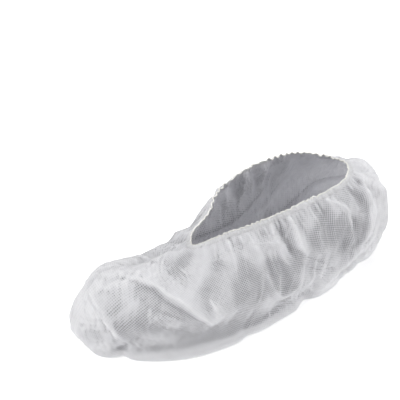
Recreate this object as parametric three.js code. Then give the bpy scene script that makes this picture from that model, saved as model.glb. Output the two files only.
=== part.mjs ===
// Anti-slip shoe cover: a foot-shaped bag of thin non-woven cloth with a gathered elastic mouth.
// Millimetres, +Z up. The toe points along -Y and the flat sole rests on Z = 0.
import {
  Box3,
  BufferGeometry,
  CatmullRomCurve3,
  Float32BufferAttribute,
  Group,
  Line3,
  MathUtils,
  Mesh,
  MeshStandardMaterial,
  Vector3,
} from 'three';

// Driving sizes
const STATIONS_AROUND = 104;
const WALL = 1.2;
const GAP = 0.3;
const FOOT_RISE = 9;
const FLAT_SHARE = 0.28;
const SEAM_SHARE = 0.93;

// Distance fallen from the mouth: 0 rim, 1 high swell, 2 low swell, 3 foot of the wall, 4 edge, 5 flat sole
const FALLS = [0, 0.25, 0.5, 0.75, 1, 1.25, 1.5, 1.75, 2, 2.25, 2.5, 2.75, 3, 3.3, 3.65, 4, 4.5, 5];
const FOLD_FADE = { from: 2.8, to: 3.6 };
const TUCK_REACH = { start: 2.3, full: 3.6, fade: 4.2, end: 5 };

const GROOVE = { halfWidth: 4, slope: 0.6, rise: 1.3 };
const SEAM = { halfWidth: 3.2, pucker: 0.25, thickness: 1, steps: 64, endInset: 7 };
const HEM = { height: 3.2, tooth: 0.5, thickness: 1.4, belly: 1.8 };
const ELASTIC = { radius: 0.8, sides: 6 };
const GATHERS = { count: 22, rimDepth: 0.7, depth: 2.2, full: 0.5, reach: 2.1, wander: 0.9 };

// Makes one object per row, keyed by the column names.
function table(columns, rows) {
  const names = columns.split(' ');
  return rows.map((row) => Object.fromEntries(names.map((name, i) => [name, row[i]])));
}

// Sections around the cover, from the toe along the near side to the heel and back along the far side.
// edge: outline of the sole, which lifts at the toe; rim: the mouth; swell: how far the wall bellies out;
// footIn: how far the foot of the wall stands inside the edge.
const STATIONS = table('name edgeX edgeY edgeZ rimX rimY rimZ swellHigh swellLow footIn', [
  ['toe', -13, -143, 13, 0, -55, 67, 12, 23, -5],
  ['near_toe', 13, -132, 4, 6, -51, 69, 12, 25, 1],
  ['near_ball', 42, -90, 3, 9, -44, 70, 14, 20, 8],
  ['near_waist', 52, -44, 3, 15, -28, 75, 13, 13, 7],
  ['near_mid', 49, 4, 3, 22, -4, 80, 9, 9, 4],
  ['near_quarter', 43, 52, 3, 24, 36, 83, 9, 8, 1],
  ['near_heel', 31, 101, 3, 19, 76, 82, 10, 10, 0],
  ['heel', -6, 140, 3, -6, 100, 77, 13, 9, 0],
  ['far_heel', -43, 108, 3, -33, 74, 80, 9, 10, 0],
  ['far_quarter', -47, 52, 3, -38, 34, 82, 8, 9, 1],
  ['far_mid', -49, 4, 3, -31, -6, 80, 8, 9, 2],
  ['far_waist', -50, -44, 3, -15, -29, 75, 0, 9, 1],
  ['far_ball', -49, -92, 4, -9, -44, 71, -13, 8, 0],
  ['far_toe', -36, -129, 10, -6, -51, 69, -6, 13, -3],
]);

// Main folds, each along a curve through three places of station and fall. Ridges stand out, creases sink in.
// lean: from -1 to 1, how much steeper one flank is than the other.
const FOLDS = table('name fromStation fromFall viaStation viaFall toStation toFall halfWidth height lean', [
  ['vamp_lap', 0.2, 1.25, 1.3, 1.35, 2.4, 2.25, 16, 4.4, 0.2],
  ['vamp_under', 0.4, 1.55, 1.3, 1.8, 2.2, 2.5, 13, -2.4, 0],
  ['lap_tip', 2.55, 2.3, 2.45, 1.9, 2.2, 1.5, 14, 1.6, 0],
  ['toe_facet', -0.05, 2.2, 0.4, 2.25, 0.85, 2.5, 11, 2.8, 0.2],
  ['toe_side', 0.9, 1.9, 1.5, 2.3, 2.2, 2.7, 14, -2.6, 0],
  ['side_crease', 3.4, 2.4, 3.35, 3, 3.2, 3.5, 9, -2.6, 0.2],
  ['waist_crease', 2.5, 0.4, 2.7, 1.1, 2.95, 1.7, 11, -1.8, 0],
  ['side_patch', 3.65, 1.5, 3.95, 2.4, 4.4, 2, 11, 1.8, 0],
  ['mid_valley', 4.25, 0.2, 4.2, 0.8, 4.2, 1.4, 9, -2, 0],
  ['mid_pleat', 4.6, 0.1, 4.5, 0.8, 4.55, 1.4, 10, 2.6, 0.2],
  ['pocket_hollow', 4.95, 0.4, 4.9, 1, 4.9, 1.6, 12, -1.8, 0],
  ['pocket_arch', 5.4, 0.1, 5.6, 0.6, 5.5, 1.7, 10, 3.4, -0.2],
  ['sag', 4.35, 1.4, 4.7, 2, 5.1, 2.5, 12, -2.6, 0],
  ['heel_valley', 6.15, 0.4, 5.7, 1.2, 5.05, 2, 12, -3, 0],
  ['heel_sweep', 6.5, 0.4, 6, 1.4, 4.9, 2.85, 13, 4, 0],
  ['heel_gutter', 6.7, 1, 6.3, 2, 5.4, 2.9, 12, -2.2, 0],
  ['heel_bag', 6.9, 0.6, 6.5, 1.5, 6.35, 2.3, 14, 3, 0],
  ['throat_crease', 11.9, 1.35, 12.8, 0.8, 13.7, 0.3, 10, -2.2, 0.2],
  ['far_pocket', 8.6, 0.3, 8.7, 1.2, 8.9, 2.1, 13, 3, -0.2],
  ['far_crease', 9.3, 0.4, 9.35, 1.3, 9.5, 2.2, 10, -2.6, 0.2],
  ['far_ridge', 10, 0.3, 10.2, 1.1, 10.3, 1.9, 12, 2.4, 0.2],
  ['far_slope', 7.6, 0.9, 8.2, 1.8, 9.6, 2.9, 10, 3.6, -0.2],
  ['far_sag', 8.9, 1.9, 10, 2.45, 11.2, 2.2, 10, -2.2, 0.2],
  ['far_hollow', 11.75, 1.3, 11.6, 1.6, 11.5, 1.9, 14, -2.6, 0],
  ['far_vamp', 13.3, 1.7, 12.8, 1.6, 12.3, 1.6, 18, 4.4, 0],
]);

// Places where the edge of the sole is drawn in. width is counted in stations.
const TUCKS = table('name station width depth', [
  ['toe_notch', 1.22, 0.16, 5],
  ['side_tuck', 3.25, 0.16, 2.6],
  ['mid_tuck', 4.45, 0.2, 4.4],
  ['heel_tuck', 5.6, 0.3, 5],
  ['far_heel_tuck', 8.3, 0.2, 2.5],
  ['far_mid_tuck', 9.8, 0.2, 2.8],
  ['far_toe_tuck', 12.7, 0.18, 2.4],
]);

// Closed curve through one vector of each section.
function loop(pick) {
  return new CatmullRomCurve3(STATIONS.map(pick), true, 'catmullrom', 0.5);
}

const EDGE_LOOP = loop((s) => new Vector3(s.edgeX, s.edgeY, s.edgeZ));
const RIM_LOOP = loop((s) => new Vector3(s.rimX, s.rimY, s.rimZ));
const SHAPE_LOOP = loop((s) => new Vector3(s.swellHigh, s.swellLow, s.footIn));
const RIM_LENGTH = RIM_LOOP.getLength();

// The seam point that a section shares with the section across from it.
function seamPoint(turn) {
  const here = EDGE_LOOP.getPoint(turn);
  const across = EDGE_LOOP.getPoint((1 - turn) % 1);
  const middle = here.add(across).multiplyScalar(0.5);
  return new Vector3(middle.x, middle.y * SEAM_SHARE, 0);
}

// The wall's curve at one place around, from the rim down to the flat of the sole.
function sectionCurve(turn) {
  const rim = RIM_LOOP.getPoint(turn);
  const edge = EDGE_LOOP.getPoint(turn);
  const shape = SHAPE_LOOP.getPoint(turn);
  const along = EDGE_LOOP.getTangent(turn);
  const outward = new Vector3(along.y, -along.x, 0).normalize();
  const foot = edge.clone().addScaledVector(outward, -shape.z);
  foot.z += FOOT_RISE;
  const chord = foot.clone().sub(rim);
  const belly = outward.projectOnPlane(chord.clone().normalize()).normalize();
  const high = rim.clone().addScaledVector(chord, 1 / 3).addScaledVector(belly, shape.x);
  const low = rim.clone().addScaledVector(chord, 2 / 3).addScaledVector(belly, shape.y);
  const flat = edge.clone().lerp(seamPoint(turn), FLAT_SHARE).setZ(0);
  return new CatmullRomCurve3([rim, high, low, foot, edge, flat], false, 'catmullrom', 0.5);
}

const LAST_FALL = FALLS.at(-1);

// A point of the smooth form, before gathers and folds.
function smoothPoint(curve, fall) {
  const point = curve.getPoint(fall / LAST_FALL);
  return point.setZ(Math.max(point.z, 0));
}

// The line of a fold on the smooth form.
function foldSpine(fold, steps = 12) {
  const course = new CatmullRomCurve3([
    new Vector3(fold.fromStation, fold.fromFall),
    new Vector3(fold.viaStation, fold.viaFall),
    new Vector3(fold.toStation, fold.toFall),
  ]);
  const points = course.getPoints(steps).map(({ x: station, y: fall }) => {
    const turn = MathUtils.euclideanModulo(station / STATIONS.length, 1);
    return smoothPoint(sectionCurve(turn), fall);
  });
  return { ...fold, points };
}

const SPINES = FOLDS.map((fold) => foldSpine(fold));

// How far all folds together lift the cloth at a point of the wall with its normal.
function foldLift(point, normal) {
  let lift = 0;
  for (const { points, halfWidth, height, lean } of SPINES) {
    let nearest = Infinity;
    let side = 0;
    for (let i = 1; i < points.length; i += 1) {
      const run = points[i].clone().sub(points[i - 1]);
      const closest = new Line3(points[i - 1], points[i]).closestPointToPoint(point, true, new Vector3());
      const away = point.clone().sub(closest);
      if (away.length() < nearest) {
        nearest = away.length();
        side = away.normalize().dot(run.cross(normal).normalize());
      }
    }
    const reach = halfWidth * (1 - side * lean);
    if (nearest < reach) {
      lift += height * 0.5 * (1 + Math.cos((Math.PI * nearest) / reach));
    }
  }
  return lift;
}

// How far the tucks draw the foot and the edge in at a place around.
function tuckDepth(turn, fall) {
  const { start, full, fade, end } = TUCK_REACH;
  const share = MathUtils.smoothstep(fall, start, full) * (1 - MathUtils.smoothstep(fall, fade, end));
  let depth = 0;
  for (const tuck of TUCKS) {
    const off = (turn * STATIONS.length - tuck.station) / tuck.width;
    depth += tuck.depth * Math.exp(-off * off);
  }
  return depth * share;
}

// Spacing of the stations along the mouth, as a share of even spacing and at most 1: small at the throat.
function mouthPace(turn) {
  const step = 0.5 / STATIONS_AROUND;
  const here = RIM_LOOP.getPoint((turn + 1 - step) % 1);
  const next = RIM_LOOP.getPoint((turn + step) % 1);
  return Math.min(1, (here.distanceTo(next) * STATIONS_AROUND) / RIM_LENGTH);
}

// The elastic's gathers: shallow at the rim, deepest just below it, gone on the lower wall.
function gatherLift(turn, fall) {
  const { count, rimDepth, depth, full, reach, wander } = GATHERS;
  const angle = turn * 2 * Math.PI;
  const wave = Math.cos(count * angle + wander * Math.sin(2 * angle));
  const strength = mouthPace(turn) * (0.8 + 0.2 * Math.sin(3 * angle + 1));
  const swell = MathUtils.lerp(rimDepth, depth, MathUtils.smoothstep(fall, 0, full));
  return wave * strength * swell * (1 - MathUtils.smoothstep(fall, full, reach));
}

// Unit normals of a grid that closes around, pointing out of the bag.
function gridNormals(grid) {
  return grid.map((column, s) => column.map((_, r) => {
    const next = grid[(s + 1) % grid.length][r];
    const last = grid[(s + grid.length - 1) % grid.length][r];
    const above = column[Math.max(r - 1, 0)];
    const below = column[Math.min(r + 1, column.length - 1)];
    const around = next.clone().sub(last);
    const down = below.clone().sub(above);
    return down.cross(around).normalize();
  }));
}

// The outer face as columns of points: the wall and the flat sole, gathered and folded.
function outerGrid() {
  const turns = Array.from({ length: STATIONS_AROUND }, (_, s) => s / STATIONS_AROUND);
  const smooth = turns.map((turn) => {
    const curve = sectionCurve(turn);
    return FALLS.map((fall) => smoothPoint(curve, fall));
  });
  const normals = gridNormals(smooth);
  return smooth.map((column, s) => column.map((point, r) => {
    const fade = 1 - MathUtils.smoothstep(FALLS[r], FOLD_FADE.from, FOLD_FADE.to);
    const lift = gatherLift(turns[s], FALLS[r]) + foldLift(point, normals[s][r]) * fade;
    const along = EDGE_LOOP.getTangent(turns[s]);
    const inward = new Vector3(-along.y, along.x, 0).normalize();
    return point.clone()
      .addScaledVector(normals[s][r], lift)
      .addScaledVector(inward, tuckDepth(turns[s], FALLS[r]));
  }));
}

// Adds the last rings of a column: down the flat sole, up the side of the seam groove, to the seam line.
function soleRings(flat, seam, drop) {
  const inward = flat.clone().sub(seam).setZ(0).normalize();
  const groundLine = seam.clone().addScaledVector(inward, GROOVE.halfWidth + GROOVE.slope).setZ(drop);
  const grooveLine = seam.clone().addScaledVector(inward, GROOVE.halfWidth).setZ(GROOVE.rise + drop);
  return [groundLine, grooveLine, seam.clone().setZ(GROOVE.rise + drop)];
}

// Collects points and triangles of one closed body.
class Solid {
  constructor() {
    this.points = [];
    this.faces = [];
  }

  addPoint(point) {
    this.points.push(point.x, point.y, point.z);
    return this.points.length / 3 - 1;
  }

  addFace(a, b, c) {
    if (a !== b && b !== c && c !== a) {
      this.faces.push(a, b, c);
    }
  }

  addQuad(a, b, c, d) {
    this.addFace(a, b, c);
    this.addFace(a, c, d);
  }

  geometry() {
    const geometry = new BufferGeometry();
    geometry.setAttribute('position', new Float32BufferAttribute(this.points, 3));
    geometry.setIndex(this.faces);
    geometry.computeVertexNormals();
    return geometry;
  }
}

// Adds a grid whose last ring lies on the seam, where the columns of the two sides share their points.
function addSkin(solid, grid) {
  const last = grid[0].length - 1;
  const ids = grid.map((column) => column.slice(0, last).map((point) => solid.addPoint(point)));
  const half = grid.length / 2;
  const seamIds = Array.from({ length: half + 1 }, (_, s) => solid.addPoint(grid[s][last]));
  ids.forEach((column, s) => column.push(seamIds[s <= half ? s : grid.length - s]));
  return ids;
}

// Whether the cloth bends less along a quad's falling diagonal than along its rising one.
function fallsStraight(normals, s, t, r) {
  if (r >= normals[s].length) {
    return true;
  }
  return normals[s][r - 1].dot(normals[t][r]) >= normals[s][r].dot(normals[t][r - 1]);
}

// The body of the cover: outer skin, inner skin one wall inside it, and the edge that joins them at the rim.
// Each quad is split along the diagonal that follows the folds.
function bodyGeometry(outer, inner, normals) {
  const solid = new Solid();
  const outerIds = addSkin(solid, outer);
  const innerIds = addSkin(solid, inner);
  const count = outer.length;
  for (let s = 0; s < count; s += 1) {
    const t = (s + 1) % count;
    for (let r = 1; r < outer[0].length; r += 1) {
      const falling = fallsStraight(normals, s, t, r);
      const corners = (ids) => [ids[s][r - 1], ids[s][r], ids[t][r], ids[t][r - 1]];
      const [a, b, c, d] = corners(outerIds);
      const [e, f, g, h] = corners(innerIds);
      solid.addQuad(...(falling ? [a, b, c, d] : [b, c, d, a]));
      solid.addQuad(...(falling ? [e, h, g, f] : [f, e, h, g]));
    }
    solid.addQuad(outerIds[t][0], innerIds[t][0], innerIds[s][0], outerIds[s][0]);
  }
  return solid.geometry();
}

// A closed ring from one outline of points per station.
function ringGeometry(outlines) {
  const solid = new Solid();
  const ids = outlines.map((outline) => outline.map((point) => solid.addPoint(point)));
  ids.forEach((here, s) => {
    const next = ids[(s + 1) % ids.length];
    here.forEach((_, i) => {
      const j = (i + 1) % here.length;
      solid.addQuad(here[i], next[i], next[j], here[j]);
    });
  });
  return solid.geometry();
}

// A bar from one outline of points per step, closed by a fan at each end.
function barGeometry(outlines) {
  const solid = new Solid();
  const ids = outlines.map((outline) => outline.map((point) => solid.addPoint(point)));
  for (let s = 1; s < ids.length; s += 1) {
    ids[s].forEach((_, i) => {
      const j = (i + 1) % ids[s].length;
      solid.addQuad(ids[s - 1][i], ids[s - 1][j], ids[s][j], ids[s][i]);
    });
  }
  const first = ids[0];
  const final = ids.at(-1);
  for (let i = 2; i < first.length; i += 1) {
    solid.addFace(first[0], first[i], first[i - 1]);
    solid.addFace(final[0], final[i - 1], final[i]);
  }
  return solid.geometry();
}

// Where the mouth's edge stands at each station: middle of the wall, out of the bag, and up along the cloth.
function rimFrames(outer, inner) {
  return outer.map((column, s) => {
    const middle = column[0].clone().lerp(inner[s][0], 0.5);
    const out = column[0].clone().sub(inner[s][0]).normalize();
    const up = column[0].clone().sub(column[1]).projectOnPlane(out).normalize();
    return { middle, out, up };
  });
}

// Height of the scalloped hem at a station: every other station is the tip of a tooth.
function hemHeight(station) {
  const tooth = HEM.tooth * mouthPace(station / STATIONS_AROUND);
  return HEM.height + (station % 2 === 0 ? tooth : -tooth);
}

function hemGeometry(frames) {
  return ringGeometry(frames.map(({ middle, out, up }, s) => {
    const top = hemHeight(s);
    const corner = (side, height) => middle.clone().addScaledVector(out, side).addScaledVector(up, GAP + height);
    return [
      corner(-HEM.thickness / 2, 0),
      corner(HEM.thickness / 2, 0),
      corner(HEM.belly / 2, top / 2),
      corner(HEM.thickness / 2, top),
      corner(-HEM.thickness / 2, top),
      corner(-HEM.belly / 2, top / 2),
    ];
  }));
}

function elasticGeometry(frames) {
  return ringGeometry(frames.map(({ middle, out, up }, s) => {
    const centre = middle.clone().addScaledVector(up, 2 * GAP + hemHeight(s) + ELASTIC.radius);
    return Array.from({ length: ELASTIC.sides }, (_, i) => {
      const angle = ((i + 0.5) / ELASTIC.sides) * 2 * Math.PI;
      return centre.clone()
        .addScaledVector(out, ELASTIC.radius * Math.cos(angle))
        .addScaledVector(up, ELASTIC.radius * Math.sin(angle));
    });
  }));
}

// The puckered seam lies in the groove along the middle of the sole, level with the ground.
function seamGeometry() {
  const line = new CatmullRomCurve3(
    Array.from({ length: STATIONS.length + 1 }, (_, i) => seamPoint(i / (2 * STATIONS.length))),
  );
  const length = line.getLength();
  const outlines = [];
  for (let i = 0; i <= SEAM.steps; i += 1) {
    const share = MathUtils.lerp(SEAM.endInset / length, 1 - SEAM.endInset / length, i / SEAM.steps);
    const { x, y } = line.getPointAt(share);
    const half = SEAM.halfWidth + (i % 2 === 0 ? SEAM.pucker : -SEAM.pucker);
    outlines.push([
      new Vector3(x - half, y, 0),
      new Vector3(x - half, y, SEAM.thickness),
      new Vector3(x + half, y, SEAM.thickness),
      new Vector3(x + half, y, 0),
    ]);
  }
  return barGeometry(outlines);
}

const CLOTH = new MeshStandardMaterial({ color: 0xe6e6ea, roughness: 0.9, metalness: 0 });
const SEWN_CLOTH = new MeshStandardMaterial({ color: 0xdcdce0, roughness: 0.95, metalness: 0 });
const SERGED_EDGE = new MeshStandardMaterial({ color: 0xdedfda, roughness: 0.9, metalness: 0 });
const CREAM_ELASTIC = new MeshStandardMaterial({ color: 0xd5d6c8, roughness: 0.6, metalness: 0 });

function namedMesh(name, geometry, material) {
  const mesh = new Mesh(geometry, material);
  mesh.name = name;
  return mesh;
}

function buildCover() {
  const outerWall = outerGrid();
  const wallNormals = gridNormals(outerWall);
  const innerWall = outerWall.map((column, s) => column.map((point, r) => {
    const inside = point.clone().addScaledVector(wallNormals[s][r], -WALL);
    return inside.setZ(Math.max(inside.z, WALL));
  }));
  const withSole = (columns, drop) => columns.map((column, s) => {
    const seam = seamPoint(s / STATIONS_AROUND);
    return [...column, ...soleRings(column.at(-1), seam, drop)];
  });
  const frames = rimFrames(outerWall, innerWall);
  const cover = new Group();
  const body = bodyGeometry(withSole(outerWall, 0), withSole(innerWall, WALL), wallNormals);
  cover.add(namedMesh('cover_body', body, CLOTH));
  cover.add(namedMesh('sole_seam', seamGeometry(), SEWN_CLOTH));
  cover.add(namedMesh('opening_hem', hemGeometry(frames), SERGED_EDGE));
  cover.add(namedMesh('opening_elastic', elasticGeometry(frames), CREAM_ELASTIC));
  return cover;
}

// Stands the cover with the middle of its outline over the origin.
function standAtOrigin(cover) {
  const middle = new Box3().setFromObject(cover).getCenter(new Vector3());
  cover.position.set(-middle.x, -middle.y, 0);
  return cover;
}

export default standAtOrigin(buildCover());
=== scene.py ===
"""Anti-slip shoe cover of thin embossed non-woven cloth, standing open on its sole.

Metres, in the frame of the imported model: the toe points along -Y and the sole rests on Z = 0.
"""

import logging
import math
from collections.abc import Sequence
from dataclasses import dataclass, field
from enum import Enum, IntEnum

import bpy
import numpy as np
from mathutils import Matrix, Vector


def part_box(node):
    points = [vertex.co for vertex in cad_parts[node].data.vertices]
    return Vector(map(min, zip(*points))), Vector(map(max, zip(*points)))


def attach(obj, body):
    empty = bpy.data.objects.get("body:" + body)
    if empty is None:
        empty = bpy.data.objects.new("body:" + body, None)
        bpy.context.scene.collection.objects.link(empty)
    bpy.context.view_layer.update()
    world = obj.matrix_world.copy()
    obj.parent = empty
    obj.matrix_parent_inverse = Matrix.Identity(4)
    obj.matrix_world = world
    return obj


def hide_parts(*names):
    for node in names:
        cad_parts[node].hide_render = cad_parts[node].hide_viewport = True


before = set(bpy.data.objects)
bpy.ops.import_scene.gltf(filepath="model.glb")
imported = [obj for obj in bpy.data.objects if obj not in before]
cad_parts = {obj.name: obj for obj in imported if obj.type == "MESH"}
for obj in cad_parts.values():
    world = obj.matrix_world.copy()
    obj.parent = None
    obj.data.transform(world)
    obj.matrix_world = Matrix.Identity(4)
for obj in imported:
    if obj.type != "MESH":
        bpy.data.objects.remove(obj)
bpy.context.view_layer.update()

logging.basicConfig(level=logging.INFO, format="%(name)s: %(message)s")
log = logging.getLogger("shoe_cover")

# A line of points of two numbers, a range, a colour, and waves as rows of height, count and phase.
Path = tuple[tuple[float, float], ...]
Span = tuple[float, float]
Colour = tuple[float, float, float, float]
Waves = tuple[tuple[float, float, float], ...]

BODY = "root"
TURN = 2.0 * math.pi
TINY = 1e-9
TINY_SQUARE = 1e-12
MERGE_GAP = 1e-6
FINE_STEPS = 4001
# A direction that no thread runs along.
THREAD_SIDE = np.array((0.31, 0.17, 0.93))
# Blender's settings for the cloth while it settles.
SETTLING: dict[str, float] = {
    "quality": 6,
    "mass": 0.05,
    "tension_stiffness": 12.0,
    "compression_stiffness": 12.0,
    "shear_stiffness": 6.0,
    "bending_stiffness": 0.08,
    "pin_stiffness": 1.2,
}


class CadNode(Enum):
    """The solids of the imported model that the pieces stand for."""

    BODY = "cover_body"
    SEAM = "sole_seam"
    HEM = "opening_hem"
    ELASTIC = "opening_elastic"


class Slot(Enum):
    """The record's material slots."""

    CLOTH = "cloth"
    SEAM = "sewn_seam"
    EDGE = "serged_edge"
    ELASTIC = "elastic"


class Held(Enum):
    """How the cloth is held."""

    GATHERED = "gathered"


class Fall(IntEnum):
    """Places down the cloth, counted from the mouth."""

    RIM = 0
    HIGH_SWELL = 1
    LOW_SWELL = 2
    FOOT = 3
    EDGE = 4
    FLAT = 5


@dataclass(frozen=True)
class Station:
    """One section around the cover: outline of the sole, mouth, bellies of the wall, inset of its foot."""

    name: str
    edge_x: float
    edge_y: float
    edge_z: float
    rim_x: float
    rim_y: float
    rim_z: float
    swell_high: float
    swell_low: float
    foot_in: float


@dataclass(frozen=True)
class Fold:
    """A fold along a line.

    A positive height stands out and a negative one sinks in. A lean from -1 to 1 makes one flank steep,
    and crisp from 0 to 1 sharpens the crest.
    """

    name: str
    path: Path
    half_width: float
    height: float
    lean: float
    crisp: float


@dataclass(frozen=True)
class Zone:
    """A patch round a (station, fall) place, and how tight or calm the cloth is there, loose if negative."""

    name: str
    station: float
    fall: float
    along: float
    down: float
    amount: float


@dataclass(frozen=True)
class FoldShadeEdge:
    """A line past which, on its lower or forward side, painted shade of the fold darkens the cloth; a
    negative amount lightens it.
    """

    name: str
    path: Path
    reach: float
    amount: float


@dataclass(frozen=True)
class Dent:
    """A place where the edge of the sole is drawn in, or stands out where the depth is negative."""

    name: str
    station: float
    width: float
    depth: float


STATIONS: tuple[Station, ...] = (
    Station("toe", -0.013, -0.143, 0.013, 0.000, -0.055, 0.067, 0.012, 0.023, -0.005),
    Station("near_toe", 0.013, -0.132, 0.004, 0.006, -0.051, 0.069, 0.012, 0.025, 0.001),
    Station("near_ball", 0.042, -0.090, 0.003, 0.009, -0.044, 0.070, 0.014, 0.020, 0.008),
    Station("near_waist", 0.052, -0.044, 0.003, 0.015, -0.028, 0.075, 0.013, 0.013, 0.007),
    Station("near_mid", 0.049, 0.004, 0.003, 0.022, -0.004, 0.080, 0.009, 0.009, 0.004),
    Station("near_quarter", 0.043, 0.052, 0.003, 0.024, 0.036, 0.083, 0.009, 0.008, 0.001),
    Station("near_heel", 0.031, 0.101, 0.003, 0.019, 0.076, 0.082, 0.010, 0.010, 0.000),
    Station("heel", -0.006, 0.140, 0.003, -0.006, 0.100, 0.077, 0.013, 0.009, 0.000),
    Station("far_heel", -0.043, 0.108, 0.003, -0.033, 0.074, 0.080, 0.009, 0.010, 0.000),
    Station("far_quarter", -0.047, 0.052, 0.003, -0.038, 0.034, 0.082, 0.008, 0.009, 0.001),
    Station("far_mid", -0.049, 0.004, 0.003, -0.031, -0.006, 0.080, 0.008, 0.009, 0.002),
    Station("far_waist", -0.050, -0.044, 0.003, -0.015, -0.029, 0.075, 0.000, 0.009, 0.001),
    Station("far_ball", -0.049, -0.092, 0.004, -0.009, -0.044, 0.071, -0.013, 0.008, 0.000),
    Station("far_toe", -0.036, -0.129, 0.010, -0.006, -0.051, 0.069, -0.006, 0.013, -0.003),
)

LAP_LINE: Path = ((0.7, 1.15), (1.4, 1.4), (1.8, 1.7), (2.35, 2.25))
SWEEP_LINE: Path = ((6.55, 0.35), (6.3, 0.65), (6.1, 1.15), (5.8, 1.8), (5.35, 2.4), (4.8, 2.9))
VALLEY_LINE: Path = ((6.15, 0.4), (5.92, 0.8), (5.7, 1.1), (5.5, 1.4), (5.3, 1.7), (5.05, 2.0))
SLOPE_LINE: Path = ((6.6, 1.2), (6.4, 2.0), (6.05, 2.6), (5.6, 2.85), (5.2, 3.1))
GUTTER_LINE: Path = ((6.5, 0.95), (6.25, 1.8), (5.9, 2.25), (5.5, 2.5), (5.2, 2.85))
FAR_POCKET_LINE: Path = ((8.6, 0.3), (8.7, 1.2), (8.9, 2.1))

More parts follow.
